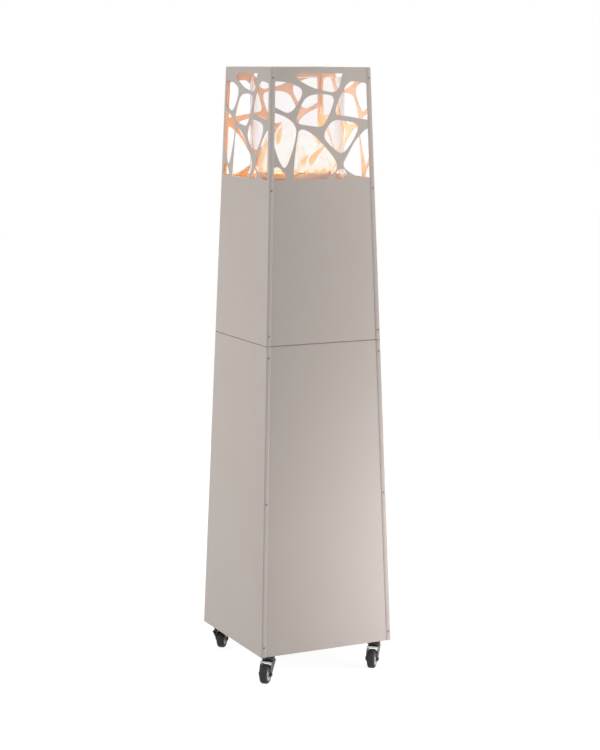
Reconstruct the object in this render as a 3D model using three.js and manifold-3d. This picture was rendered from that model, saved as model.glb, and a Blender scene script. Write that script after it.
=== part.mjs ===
// Pyramid patio heater: a tapering square cabinet on four casters. The lower half holds a gas
// bottle behind a hinged rear door. The upper half holds the burner under a glass cylinder,
// and an open web of cells is cut in each of its four faces. Millimetres, Z up. The origin is
// on the floor under the middle of the cabinet, and the front faces -Y.

import * as THREE from 'three';
import { mergeVertices } from 'three/addons/utils/BufferGeometryUtils.js';
import Module from 'manifold-3d';

const wasm = await Module();
wasm.setup();

// Fits
const clearance = 0.3;
const overrun = 5;

// Casters
const wheelRadius = 25;
const wheelWidth = 20;
const treadWidth = 8;
const shoulderRadius = 6;
const hubRadius = 16.2;
const hubRimWidth = 19;
const hubRimWall = 2.7;
const hubWebWidth = 15.5;
const hubBossRadius = 6;
const axleRadius = 3;
const axleHeadRadius = 4.5;
const axleHeadLength = 2.5;
const forkSideGap = 2.8;
const forkSheet = 2.5;
const forkEndRadius = 8;
const forkFront = 16.6;
const forkRear = 18;
const forkLipHeight = 6.5;
const casterTrail = 19.8;
const wheelTopGap = 4.9;
const crownThickness = 2.5;
const racewayHeight = 15.5;
const racewayRadius = 19;
const racewayFootRadius = 15;
const kingPinRadius = 5;
const kingPinHeadRadius = 8;
const kingPinHeadHeight = 2.5;
const casterPlate = 2.5;
const casterPlateWidth = 46;
const casterInset = 33.3;
const casterTurns = { front_left: -44, front_right: -40, rear_left: 140, rear_right: 136 };
const casterSides = { front_left: [-1, -1], front_right: [1, -1], rear_left: [-1, 1], rear_right: [1, 1] };

// Cabinet shell
const baseWidth = 372.7;
const topWidth = 275.65;
const lowerHeight = 792;
const upperHeight = 688;
const seamGap = 2;
const seamRecess = 1;
const sheet = 1.5;
const innerBend = 1;
const flangeWidth = 12;
const panelEdgeGap = 1;

// Floor of the bottle bay
const baseRecess = 2;
const baseSheet = 2;
const baseRimHeight = 18;
const locatingRingHeight = 12;
const locatingRingWall = 2;

// Frame at the seam
const midOpening = 236;
const midLipHeight = 15;
const midLipWall = 2;

// Rear door, its hinges, pull and magnetic catch
const doorGap = 2;
const doorDepth = 10;
const lowerHingeInset = 268;
const upperHingeInset = 139;
const hingeLength = 50;
const hingeSheet = 1.5;
const hingeKnuckleRadius = 3;
const hingePinRadius = 1.5;
const hingeFrameLeafWidth = 10;
const hingeDoorLeafWidth = 26;
const hingeNotchGap = 0.6;
const pullDrop = 309;
const pullInset = 30;
const pullRadius = 12;
const pullStemRadius = 5;
const pullStemLength = 5;
const pullHeadLength = 8;
const magnetDrop = 389;
const magnetLength = 40;
const magnetDepth = 9;
const magnetPoleGap = 1;

// Web of cells in the upper faces
const windowHeight = 260.5;
const windowTopRim = 15.5;
const windowSideRim = 13;
const cornerSteps = 3;

// Burner bay
const deckDrop = 12;
const deckSheet = 1.5;
const deckRim = 18;
const ventRadius = 7;
const shieldDrop = 42;
const shieldSheet = 1;
const shieldRim = 10;
const glassHeight = 261;
const glassSideGap = 15.3;
const glassWall = 4;
const collarSheet = 1.2;
const collarHeight = 9;
const trayGap = 6;
const trayHeight = 23;
const traySheet = 1.2;
const trayLip = 2;
const burnerStoneGap = 22;
const burnerHeight = 14;
const burnerWall = 1.5;
const neckRadius = 14;
const neckWall = 2;
const neckDrop = 82;
const portRadius = 1.5;
const portInset = 15;
const portCount = 12;
const airHoleRadius = 5;
const airHoleRise = 24;
const stoneBandWidth = 26;
const stoneCrown = 5;
const probeGap = 12;
const probeAngle = 34;
const probeHoleRadius = 5;

// Gas train
const jetCollarLength = 6;
const jetNozzleRadius = 4;
const jetNozzleLength = 8;
const jetShoulderLength = 5;
const jetStemRadius = 6;
const jetStemLength = 8;
const jetBoreRadius = 1.5;
const pipeRadius = 4;
const pipeBend = 24;
const controlDrop = 130;
const valveWidth = 44;
const valveHeight = 40;
const valveDepth = 46;
const valveFaceGap = 0.5;
const valveStubRadius = 7;
const valveStubLength = 13;
const valveInletSetback = 32;
const plugRadius = 9;
const plugLength = 26;
const spindleRadius = 4;
const spindleHoleRadius = 6;
const knobRadius = 20;
const knobHeight = 18;
const knobChamfer = 2;
const knobBoreDepth = 12;
const knobPointerWidth = 4;
const knobPointerHeight = 2;
const pushTravel = 4;
const knobFaceGap = 1;

// Ignition and flame safety
const igniterOffset = 55;
const igniterBarrelRadius = 10.5;
const igniterBarrelLength = 44;
const igniterBezelRadius = 14;
const igniterBezelHeight = 2.5;
const igniterBoreDepth = 22;
const buttonRadius = 7;
const buttonRise = 6;
const buttonTravel = 5;
const igniterTailRadius = 2;
const igniterTailLength = 6;
const ceramicRadius = 4;
const ceramicDrop = 12;
const electrodeRadius = 1.2;
const electrodeRise = 14;
const electrodeReach = 16;
const thermocoupleRadius = 2.5;
const thermocoupleRise = 10;
const thermocoupleNutRadius = 6.5;
const thermocoupleNutHeight = 5;
const leadRadius = 1.5;
const tiltSwitchWidth = 24;
const tiltSwitchHeight = 26;
const tiltSwitchPlace = [-70, -45];

// Gas bottle, its valve, handwheel and regulator
const bottleHeight = 520;
const bottleSideGap = 14;
const bottleWall = 2.5;
const bottleFootHeight = 28;
const bottleFootInset = 22;
const bottleFootWall = 3;
const bottleBottomDome = 60;
const bottleTopDome = 110;
const bottleNeckRadius = 20;
const bottleNeckHeight = 16;
const bottleBoreRadius = 9;
const bottleValveRadius = 13;
const bottleValveHeight = 46;
const bottleOutletRise = 24;
const bottleOutletRadius = 10;
const bottleOutletReach = 32;
const bottleStemRadius = 5;
const bottleStemHeight = 14;
const handwheelRadius = 26;
const handwheelWave = 2;
const handwheelWaves = 6;
const handwheelHeight = 12;
const regulatorNutRadius = 14;
const regulatorNutLength = 16;
const regulatorRadius = 27;
const regulatorHeight = 32;
const regulatorOutletRadius = 7;
const regulatorOutletLength = 18;
const hoseRadius = 6;

// Round counts
const bendSteps = 3;
const shoulderSteps = 2;
const tyreSides = 24;
const hubSides = 16;
const boltSides = 10;
const largeSides = 40;
const mediumSides = 20;
const smallSides = 12;
const hoseSides = 8;

// Looks
const looks = {
  taupe: { color: 0xbdb4ae, roughness: 0.55, metalness: 0 },
  innerSteel: { color: 0x8f8d8a, roughness: 0.5, metalness: 0.8 },
  zinc: { color: 0xb4b6ba, roughness: 0.3, metalness: 1 },
  brass: { color: 0xb08d4a, roughness: 0.35, metalness: 1 },
  rubber: { color: 0x3b3a3c, roughness: 0.8, metalness: 0 },
  hubGrey: { color: 0xafa8a2, roughness: 0.5, metalness: 0 },
  blackPlastic: { color: 0x202022, roughness: 0.45, metalness: 0 },
  glass: { color: 0xe8eeee, roughness: 0.05, metalness: 0 },
  bottleGrey: { color: 0x9aa3a8, roughness: 0.4, metalness: 0.2 },
  ceramic: { color: 0xe9e4da, roughness: 0.4, metalness: 0 },
  stone: { color: 0x75665a, roughness: 0.95, metalness: 0 },
  hose: { color: 0x2a2a2c, roughness: 0.6, metalness: 0 },
};

// Levels above the floor
const wheelDiameter = 2 * wheelRadius;
const crownBottom = wheelDiameter + wheelTopGap;
const crownTop = crownBottom + crownThickness;
const racewayBottom = crownTop + clearance;
const casterPlateBottom = racewayBottom + racewayHeight;
const casterTop = casterPlateBottom + casterPlate;
const baseBottom = casterTop + clearance;
const baseFloor = baseBottom + baseSheet;
const skirtZ = baseBottom - baseRecess;
const bodyHeight = lowerHeight + upperHeight;
const topZ = skirtZ + bodyHeight;
const lowerTop = skirtZ + lowerHeight - seamGap / 2;
const upperBottom = lowerTop + seamGap;
const doorLow = skirtZ + doorGap;
const doorHigh = lowerTop - doorGap;
const windowHigh = topZ - windowTopRim;
const windowLow = windowHigh - windowHeight;
const deckTop = windowLow - deckDrop;
const collarBottom = deckTop + clearance;
const glassBottom = collarBottom + collarSheet + clearance;
const glassTop = glassBottom + glassHeight;
const trayBottom = deckTop + clearance;
const trayTop = trayBottom + trayHeight;
const burnerBottom = trayBottom + traySheet + clearance;
const burnerTop = burnerBottom + burnerHeight;
const neckBottom = burnerBottom - neckDrop;
const shieldTop = deckTop - shieldDrop;
const controlZ = deckTop - controlDrop;

// The faces lean inwards at the same rate on all four sides
const taper = (baseWidth - topWidth) / 2 / bodyHeight;
const lean = Math.atan(taper);

function halfAt(z) {
  return baseWidth / 2 - taper * (z - skirtZ);
}

// Radii that follow from what surrounds each round piece
const glassRadius = halfAt(glassTop) - 2 * sheet - clearance - glassSideGap;
const trayRadius = glassRadius - glassWall - trayGap;
const trayInner = trayRadius - traySheet;
const stoneOuter = (trayInner - clearance) * Math.cos(Math.PI / largeSides);
const stoneInner = stoneOuter - stoneBandWidth;
const burnerRadius = stoneInner - burnerStoneGap;
const portCircle = burnerRadius - portInset;
const probeCircle = burnerRadius + probeGap;
const bottleZ = baseFloor + clearance;
const bottleShoulderZ = bottleZ + bottleHeight - bottleTopDome;
const bottleRadius = halfAt(bottleShoulderZ) - sheet - bottleSideGap;
const bottleFootRadius = bottleRadius - bottleFootInset;
const forkInner = wheelWidth / 2 + forkSideGap;
const forkOuter = forkInner + forkSheet;

const heater = new THREE.Group();

// Geometry helpers

function point(x, y) {
  return new THREE.Vector2(x, y);
}

function arc(centreX, centreY, radius, from, to, steps) {
  const points = [];
  for (let i = 0; i <= steps; i += 1) {
    const angle = from + ((to - from) * i) / steps;
    points.push(point(centreX + radius * Math.cos(angle), centreY + radius * Math.sin(angle)));
  }
  return points;
}

// An elliptic quarter from (fromR, fromZ) to (toR, toZ), leaving along R where flatStart holds
function quarter(fromR, fromZ, toR, toZ, flatStart, steps) {
  const points = [];
  for (let i = 0; i <= steps; i += 1) {
    const angle = (Math.PI / 2) * (i / steps);
    const early = Math.sin(angle);
    const late = 1 - Math.cos(angle);
    const shareR = flatStart ? early : late;
    const shareZ = flatStart ? late : early;
    points.push(point(fromR + (toR - fromR) * shareR, fromZ + (toZ - fromZ) * shareZ));
  }
  return points;
}

// Merges shared vertices, drops collapsed triangles and turns the faces outwards
function tidy(geometry) {
  const bare = geometry.clone();
  bare.deleteAttribute('normal');
  bare.deleteAttribute('uv');
  const merged = mergeVertices(bare, clearance / 1000);
  const place = merged.attributes.position;
  const faces = [];
  let volume = 0;
  const corners = [new THREE.Vector3(), new THREE.Vector3(), new THREE.Vector3()];
  for (let i = 0; i < merged.index.count; i += 3) {
    const ids = [0, 1, 2].map((k) => merged.index.getX(i + k));
    if (ids[0] === ids[1] || ids[1] === ids[2] || ids[2] === ids[0]) continue;
    faces.push(ids);
    corners.forEach((corner, k) => corner.fromBufferAttribute(place, ids[k]));
    volume += corners[0].dot(corners[1].clone().cross(corners[2]));
  }
  const order = volume < 0 ? [0, 2, 1] : [0, 1, 2];
  const result = new THREE.BufferGeometry();
  result.setAttribute('position', place.clone());
  result.setIndex(faces.flatMap((ids) => order.map((k) => ids[k])));
  return result;
}

function solid(geometry) {
  const clean = tidy(geometry);
  return new wasm.Manifold(new wasm.Mesh({
    numProp: 3,
    vertProperties: new Float32Array(clean.attributes.position.array),
    triVerts: new Uint32Array(clean.index.array),
  }));
}

function surface(body) {
  const mesh = body.getMesh();
  const geometry = new THREE.BufferGeometry();
  geometry.setAttribute('position', new THREE.BufferAttribute(new Float32Array(mesh.vertProperties), 3));
  geometry.setIndex(new THREE.BufferAttribute(new Uint32Array(mesh.triVerts), 1));
  return geometry;
}

function join(...geometries) {
  return surface(geometries.map(solid).reduce((body, next) => body.add(next)));
}

function cut(geometry, ...tools) {
  return surface(tools.map(solid).reduce((body, tool) => body.subtract(tool), solid(geometry)));
}

// A solid between two horizontal outlines with the same number of points
function loft(lowOutline, highOutline, lowZ, highZ) {
  const count = lowOutline.length;
  const positions = [];
  lowOutline.forEach((p) => positions.push(p.x, p.y, lowZ));
  highOutline.forEach((p) => positions.push(p.x, p.y, highZ));
  const index = [];
  for (let i = 0; i < count; i += 1) {
    const next = (i + 1) % count;
    index.push(i, next, count + next, i, count + next, count + i);
  }
  THREE.ShapeUtils.triangulateShape(lowOutline, []).forEach(([a, b, c]) => {
    index.push(a, c, b, count + a, count + b, count + c);
  });
  const geometry = new THREE.BufferGeometry();
  geometry.setAttribute('position', new THREE.Float32BufferAttribute(positions, 3));
  geometry.setIndex(index);
  return geometry;
}

// A solid whose outline follows the cabinet's half width from lowZ to highZ
function tapered(outline, lowZ, highZ) {
  return loft(outline(halfAt(lowZ)), outline(halfAt(highZ)), lowZ, highZ);
}

function rectangle(lowX, highX, lowY, highY) {
  return [point(lowX, lowY), point(highX, lowY), point(highX, highY), point(lowX, highY)];
}

// Turns a profile of (radius, height) points about Z
function turned(profile, sides) {
  return new THREE.LatheGeometry(profile, sides).rotateX(Math.PI / 2);
}

function ring(innerRadius, outerRadius, lowZ, highZ, sides) {
  const profile = rectangle(innerRadius, outerRadius, lowZ, highZ);
  return turned([...profile, profile[0]], sides);
}

// An upright rod from lowZ to highZ
function rod(radius, lowZ, highZ, sides) {
  const geometry = new THREE.CylinderGeometry(radius, radius, highZ - lowZ, sides).rotateX(Math.PI / 2);
  return geometry.translate(0, 0, (lowZ + highZ) / 2);
}

function box(width, depth, height) {
  return new THREE.BoxGeometry(width, depth, height);
}

function tube(path, radius, sides, steps) {
  const outline = arc(0, 0, radius, 0, 2 * Math.PI * (1 - 1 / sides), sides - 1);
  return new THREE.ExtrudeGeometry(new THREE.Shape(outline), { extrudePath: path, steps, bevelEnabled: false });
}

function addNode(name, geometry, look, parent = heater) {
  const material = new THREE.MeshStandardMaterial(look);
  const mesh = new THREE.Mesh(tidy(geometry), material);
  mesh.name = name;
  parent.add(mesh);
  return mesh;
}

// A frame on the rear face: X to the right as seen from behind, Y up the slope, Z outwards
function rearFrame(x, faceY, z) {
  const outward = new THREE.Vector3(0, Math.cos(lean), Math.sin(lean));
  const upward = new THREE.Vector3(0, -Math.sin(lean), Math.cos(lean));
  const sideways = upward.clone().cross(outward);
  const group = new THREE.Group();
  group.applyMatrix4(new THREE.Matrix4().makeBasis(sideways, upward, outward).setPosition(x, faceY, z));
  heater.add(group);
  group.updateMatrixWorld(true);
  return group;
}

function inWorld(group, x, y, z) {
  return group.localToWorld(new THREE.Vector3(x, y, z));
}

// Shell sections, drawn for the face towards -Y at a given half width

function channelSection(half) {
  const outerBend = innerBend + sheet;
  const near = outerBend - half;
  const far = half - outerBend;
  const right = 1.5 * Math.PI;
  return [
    point(-half, flangeWidth - half),
    ...arc(near, near, outerBend, Math.PI, right, bendSteps),
    ...arc(far, near, outerBend, right, 2 * Math.PI, bendSteps),
    point(half, flangeWidth - half),
    point(half - sheet, flangeWidth - half),
    ...arc(far, near, innerBend, 2 * Math.PI, right, bendSteps),
    ...arc(near, near, innerBend, right, Math.PI, bendSteps),
    point(sheet - half, flangeWidth - half),
  ];
}

function flatSection(half) {
  const reach = half - sheet - panelEdgeGap;
  const face = half - sheet - clearance;
  return rectangle(-reach, reach, -face, sheet - face);
}

// The cells of the web, as seen from outside. Each corner is [across share, up share, rounding
// share]: across runs from -1 to 1 between the side rims, up from 0 to 1 over the window's
// height, and the rounding is the share of each adjoining edge that the corner's curve takes.
const cellShares = [
  [[-0.5, 1, 0], [-0.56, 0.955, 0.45], [-0.22, 0.87, 0.45], [0, 0.845, 0.4], [0.36, 0.81, 0.48], [0.475, 1, 0]],
  [[-1, 0.928, 0], [-0.72, 0.92, 0.45], [-0.34, 0.845, 0.45], [-0.66, 0.61, 0.4], [-1, 0.685, 0]],
  [[-0.57, 0.53, 0.5], [-0.48, 0.665, 0.4], [-0.33, 0.795, 0.5], [0.05, 0.808, 0.4],
    [0.31, 0.785, 0.5], [0.2, 0.64, 0.35], [0.03, 0.49, 0.4], [-0.25, 0.508, 0.4]],
  [[1, 0.905, 0], [0.8, 0.925, 0.45], [0.6, 0.925, 0.45], [0.41, 0.79, 0.4], [0.255, 0.61, 0.5],
    [0.5, 0.6, 0.35], [1, 0.558, 0]],
  [[0.01, 0.41, 0.45], [0.22, 0.56, 0.45], [0.49, 0.555, 0.4], [0.84, 0.515, 0.5], [0.66, 0.35, 0.4],
    [0.43, 0.22, 0.5], [0.19, 0.31, 0.35]],
  [[-1, 0.635, 0], [-0.72, 0.585, 0.45], [-0.51, 0.495, 0.5], [-0.59, 0.31, 0.35], [-0.76, 0.08, 0.5],
    [-0.9, 0.18, 0.4], [-1, 0.315, 0]],
  [[-0.485, 0.5, 0.5], [-0.17, 0.425, 0.4], [0.19, 0.245, 0.35], [0.37, 0.105, 0.5], [0.1, 0, 0],
    [-0.595, 0, 0], [-0.59, 0.12, 0.4], [-0.54, 0.34, 0.35]],
  [[-1, 0.117, 0], [-0.9, 0.13, 0.5], [-0.77, 0.055, 0.4], [-0.72, 0, 0], [-1, 0, 0]],
  [[0.25, 0, 0], [0.32, 0.085, 0.45], [0.475, 0.1, 0.45], [0.545, 0, 0]],
  [[1, 0.475, 0], [0.91, 0.455, 0.4], [0.71, 0.36, 0.4], [0.51, 0.2, 0.4], [0.42, 0.12, 0.5],
    [0.6, 0.05, 0.45], [0.8, 0, 0], [1, 0, 0]],
];

function cellCorner([across, up]) {
  const z = windowLow + up * (windowHigh - windowLow);
  return point(across * (halfAt(z) - windowSideRim), z);
}

function cellOutline(cell) {
  const outline = [];
  cell.forEach((entry, i) => {
    const corner = cellCorner(entry);
    const rounding = entry[2];
    if (rounding === 0) {
      outline.push(corner);
      return;
    }
    const before = corner.clone().lerp(cellCorner(cell[(i + cell.length - 1) % cell.length]), rounding);
    const after = corner.clone().lerp(cellCorner(cell[(i + 1) % cell.length]), rounding);
    outline.push(...new THREE.QuadraticBezierCurve(before, corner, after).getPoints(cornerSteps));
  });
  return outline;
}

// Cuts the web through the face towards -Y
function withCells(panel) {
  const nearY = -halfAt(windowLow) - overrun;
  const farY = overrun - halfAt(windowHigh);
  const depth = farY - nearY;
  const tools = cellShares.map((cell) => {
    const shape = new THREE.Shape(cellOutline(cell));
    return new THREE.ExtrudeGeometry(shape, { depth, bevelEnabled: false })
      .rotateX(Math.PI / 2)
      .translate(0, farY, 0);
  });
  return cut(panel, ...tools);
}

// Cabinet

function makeLowerPanels() {
  const channel = tapered(channelSection, skirtZ, lowerTop);
  addNode('lower_left_panel', channel.clone().rotateZ(-Math.PI / 2), looks.taupe);
  addNode('lower_right_panel', channel.clone().rotateZ(Math.PI / 2), looks.taupe);
  addNode('lower_front_panel', tapered(flatSection, skirtZ, lowerTop), looks.taupe);
}

function makeUpperPanels(rearHoles) {
  const channel = withCells(tapered(channelSection, upperBottom, topZ));
  const flat = withCells(tapered(flatSection, upperBottom, topZ));
  addNode('upper_left_panel', channel.clone().rotateZ(-Math.PI / 2), looks.taupe);
  addNode('upper_right_panel', channel.clone().rotateZ(Math.PI / 2), looks.taupe);
  addNode('upper_front_panel', flat, looks.taupe);
  addNode('upper_rear_panel', cut(flat.clone().rotateZ(Math.PI), ...rearHoles), looks.taupe);
}

// A pan that fills the shell: flat floor with a rim, its open side up or down
function shellPan(floorZ, thickness, rimEndZ, rearGap) {
  const outline = (inset) => (half) => rectangle(
    inset + sheet + clearance - half,
    half - sheet - clearance - inset,
    inset + 2 * (sheet + clearance) - half,
    half - rearGap - inset,
  );
  const opensUp = rimEndZ > floorZ;
  const lowZ = opensUp ? floorZ : rimEndZ;
  const highZ = opensUp ? rimEndZ : floorZ;
  const pocketLow = opensUp ? lowZ + thickness : lowZ - overrun;
  const pocketHigh = opensUp ? highZ + overrun : highZ - thickness;
  return cut(tapered(outline(0), lowZ, highZ), tapered(outline(thickness), pocketLow, pocketHigh));
}

function makeBase() {
  const pan = shellPan(baseBottom, baseSheet, baseBottom + baseRimHeight, doorDepth + clearance);
  const ringInner = bottleFootRadius + 4 * clearance;
  const locatingRing = ring(
    ringInner, ringInner + locatingRingWall, baseFloor - baseSheet / 2, baseFloor + locatingRingHeight, largeSides,
  );
  addNode('base_frame', join(pan, locatingRing), looks.innerSteel);
}

function makeMidFrame() {
  const opening = midOpening / 2;
  const plateLow = lowerTop + clearance;
  const plateHigh = upperBottom - clearance;
  const plate = tapered((half) => {
    const reach = half - seamRecess;
    return rectangle(-reach, reach, -reach, reach);
  }, plateLow, plateHigh);
  const lipOuter = 2 * (opening + midLipWall);
  const lipHeight = midLipHeight + (plateHigh - plateLow) / 2;
  const lip = box(lipOuter, lipOuter, lipHeight).translate(0, 0, plateLow - midLipHeight + lipHeight / 2);
  const hole = box(midOpening, midOpening, 2 * (midLipHeight + overrun)).translate(0, 0, plateLow);
  addNode('mid_frame', cut(join(plate, lip), hole), looks.innerSteel);
}

// Rear door

function makeDoor() {
  const reach = (half) => half - flangeWidth - doorGap;
  const skin = tapered((half) => rectangle(-reach(half), reach(half), half - doorDepth, half), doorLow, doorHigh);
  const pocket = tapered(
    (half) => rectangle(sheet - reach(half), reach(half) - sheet, half - doorDepth - overrun, half - sheet),
    doorLow + sheet,
    doorHigh - sheet,
  );
  addNode('rear_door', cut(skin, pocket), looks.taupe);

  const pullZ = doorHigh - pullDrop;
  const pullPlace = rearFrame(pullInset - reach(halfAt(pullZ)), halfAt(pullZ), pullZ);
  const pullEnd = clearance + pullStemLength + pullHeadLength;
  addNode('door_pull', turned([
    point(0, clearance),
    point(pullStemRadius, clearance),
    point(pullStemRadius, clearance + pullStemLength),
    point(pullRadius, clearance + pullStemLength),
    point(pullRadius, pullEnd),
    point(0, pullEnd),
  ], mediumSides), looks.blackPlastic, pullPlace);

  const magnetZ = doorHigh - magnetDrop;
  addNode('door_magnet', tapered((half) => rectangle(
    sheet + innerBend - half,
    flangeWidth + doorGap - magnetPoleGap - half,
    half - sheet - clearance - magnetDepth,
    half - sheet - clearance,
  ), magnetZ, magnetZ + magnetLength), looks.blackPlastic);
}

// Lift-off hinge. Its frame has X across the face, Y outwards and Z up the slanted edge.
function makeHinge(level, z) {
  const half = halfAt(z);
  const upEdge = new THREE.Vector3(-taper, -taper, 1).normalize();
  const outward = new THREE.Vector3(0, Math.cos(lean), Math.sin(lean));
  const across = outward.clone().cross(upEdge);
  const group = new THREE.Group();
  const origin = [half - flangeWidth - doorGap / 2, half, z];
  group.applyMatrix4(new THREE.Matrix4().makeBasis(across, outward, upEdge).setPosition(...origin));
  heater.add(group);

  const reach = hingeLength / 2;
  const pinY = clearance + hingeKnuckleRadius;
  const notch = hingeKnuckleRadius + hingeNotchGap;
  const leafY = clearance + hingeSheet / 2;
  const seamZ = clearance / 2;
  const leafPlate = (side, from, to, lowZ, highZ) => box(to - from, hingeSheet, highZ - lowZ)
    .translate((side * (from + to)) / 2, leafY, (lowZ + highZ) / 2);
  const onPin = (geometry) => geometry.translate(0, pinY, 0);

  addNode(`hinge_leaf_${level}`, join(
    leafPlate(1, notch, hingeFrameLeafWidth, -reach, reach),
    leafPlate(1, 0, notch + hingeSheet, -reach, -seamZ),
    onPin(rod(hingeKnuckleRadius, -reach, -seamZ, smallSides)),
    onPin(rod(hingePinRadius, -reach / 2, reach - hingeSheet, smallSides)),
  ), looks.zinc, group);

  const doorKnuckle = onPin(rod(hingeKnuckleRadius, seamZ, reach, smallSides));
  const doorBore = onPin(rod(hingePinRadius + clearance, seamZ - overrun, reach + overrun, smallSides));
  addNode(`door_leaf_${level}`, cut(join(
    leafPlate(-1, notch, hingeDoorLeafWidth, -reach, reach),
    leafPlate(-1, 0, notch + hingeSheet, seamZ, reach),
    doorKnuckle,
  ), doorBore), looks.zinc, group);
}

// Casters

function makeCaster(corner) {
  const reach = baseWidth / 2 - casterInset;
  const [sideX, sideY] = casterSides[corner];
  const place = new THREE.Group();
  place.position.set(sideX * reach, sideY * reach, 0);
  heater.add(place);

  const topPlate = box(casterPlateWidth, casterPlateWidth, casterPlate)
    .translate(0, 0, casterTop - casterPlate / 2);
  const pinHeadTop = crownBottom - clearance;
  const raceway = turned([
    point(0, casterPlateBottom + casterPlate / 2),
    point(racewayRadius, casterPlateBottom + casterPlate / 2),
    point(racewayRadius, racewayBottom + racewayHeight / 2),
    point(racewayFootRadius, racewayBottom),
    point(kingPinRadius, racewayBottom),
    point(kingPinRadius, pinHeadTop),
    point(kingPinHeadRadius, pinHeadTop),
    point(kingPinHeadRadius, pinHeadTop - kingPinHeadHeight),
    point(0, pinHeadTop - kingPinHeadHeight),
  ], smallSides);
  addNode(`${corner}_plate`, join(topPlate, raceway), looks.zinc, place);

  const swivel = new THREE.Group();
  swivel.rotation.z = THREE.MathUtils.degToRad(casterTurns[corner]);
  place.add(swivel);

  const legOutline = new THREE.Shape([
    point(forkRear, crownTop),
    point(-forkFront, crownTop),
    ...arc(-casterTrail, wheelRadius, forkEndRadius, Math.PI, 2 * Math.PI, 2 * bendSteps),
    point(forkRear, crownBottom),
  ]);
  const leg = new THREE.ExtrudeGeometry(legOutline, { depth: forkSheet, bevelEnabled: false })
    .rotateX(Math.PI / 2)
    .rotateZ(Math.PI / 2);
  const crownDepth = forkFront + forkRear;
  const crown = box(2 * forkOuter, crownDepth, crownThickness)
    .translate(0, (forkRear - forkFront) / 2, crownTop - crownThickness / 2);
  const lip = box(2 * forkOuter, forkSheet, forkLipHeight)
    .translate(0, forkSheet / 2 - forkFront, crownTop - forkLipHeight / 2);
  const pinHole = rod(kingPinRadius + clearance, crownBottom - overrun, crownTop + overrun, smallSides);
  const axleHole = rod(axleRadius + clearance, -forkOuter - overrun, forkOuter + overrun, boltSides)
    .rotateY(Math.PI / 2)
    .translate(0, -casterTrail, wheelRadius);
  addNode(`${corner}_fork`, cut(join(
    crown,
    lip,
    leg.clone().translate(forkInner, 0, 0),
    leg.clone().translate(-forkOuter, 0, 0),
  ), pinHole, axleHole), looks.zinc, swivel);

  const axle = new THREE.Group();
  axle.position.set(0, -casterTrail, wheelRadius);
  swivel.add(axle);

  const headFrom = forkOuter + clearance;
  const headTo = headFrom + axleHeadLength;
  addNode(`${corner}_axle`, turned([
    point(0, -headTo),
    point(axleHeadRadius, -headTo),
    point(axleHeadRadius, -headFrom),
    point(axleRadius, -headFrom),
    point(axleRadius, headFrom),
    point(axleHeadRadius, headFrom),
    point(axleHeadRadius, headTo),
    point(0, headTo),
  ], boltSides).rotateY(Math.PI / 2), looks.zinc, axle);

  const bore = axleRadius + clearance;
  const boss = forkInner - 2 * clearance;
  const rimHalf = hubRimWidth / 2;
  const webHalf = hubWebWidth / 2;
  const rimInner = hubRadius - hubRimWall;
  const hubProfile = [
    point(bore, -boss),
    point(hubBossRadius, -boss),
    point(hubBossRadius, -webHalf),
    point(rimInner, -webHalf),
    point(rimInner, -rimHalf),
    point(hubRadius, -rimHalf),
    point(hubRadius, rimHalf),
    point(rimInner, rimHalf),
    point(rimInner, webHalf),
    point(hubBossRadius, webHalf),
    point(hubBossRadius, boss),
    point(bore, boss),
    point(bore, -boss),
  ];
  addNode(`${corner}_hub`, turned(hubProfile, hubSides).rotateY(Math.PI / 2), looks.hubGrey, axle);

  // The flats of the faceted tread lie at the wheel's radius, and one of them faces down
  const facetScale = 1 / Math.cos(Math.PI / tyreSides);
  const shoulderFrom = wheelRadius * facetScale - shoulderRadius;
  const tyreInner = (hubRadius + clearance) / Math.cos(Math.PI / hubSides);
  const sideHalf = wheelWidth / 2;
  const shoulderHalf = treadWidth / 2;
  const shoulderSpan = sideHalf - shoulderHalf;
  const shoulder = arc(0, 0, 1, 0, Math.PI / 2, shoulderSteps);
  const rightShoulder = shoulder.map((p) => point(
    shoulderFrom + shoulderRadius * p.x, shoulderHalf + shoulderSpan * p.y,
  ));
  const leftShoulder = rightShoulder.map((p) => point(p.x, -p.y)).reverse();
  const tyreProfile = [
    point(tyreInner, -sideHalf),
    ...leftShoulder,
    ...rightShoulder,
    point(tyreInner, sideHalf),
    point(tyreInner, -sideHalf),
  ];
  const tyre = turned(tyreProfile, tyreSides).rotateZ(Math.PI / tyreSides).rotateY(Math.PI / 2);
  addNode(`${corner}_tyre`, tyre, looks.rubber, axle);
}

// Burner bay

function probeAt(side) {
  const angle = THREE.MathUtils.degToRad(90 + side * probeAngle);
  return point(probeCircle * Math.cos(angle), probeCircle * Math.sin(angle));
}

const electrodePlace = probeAt(-1);
const thermocouplePlace = probeAt(1);

function probeHoles(lowZ, highZ) {
  return [electrodePlace, thermocouplePlace].map((p) => (
    rod(probeHoleRadius, lowZ, highZ, smallSides).translate(p.x, p.y, 0)
  ));
}

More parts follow.
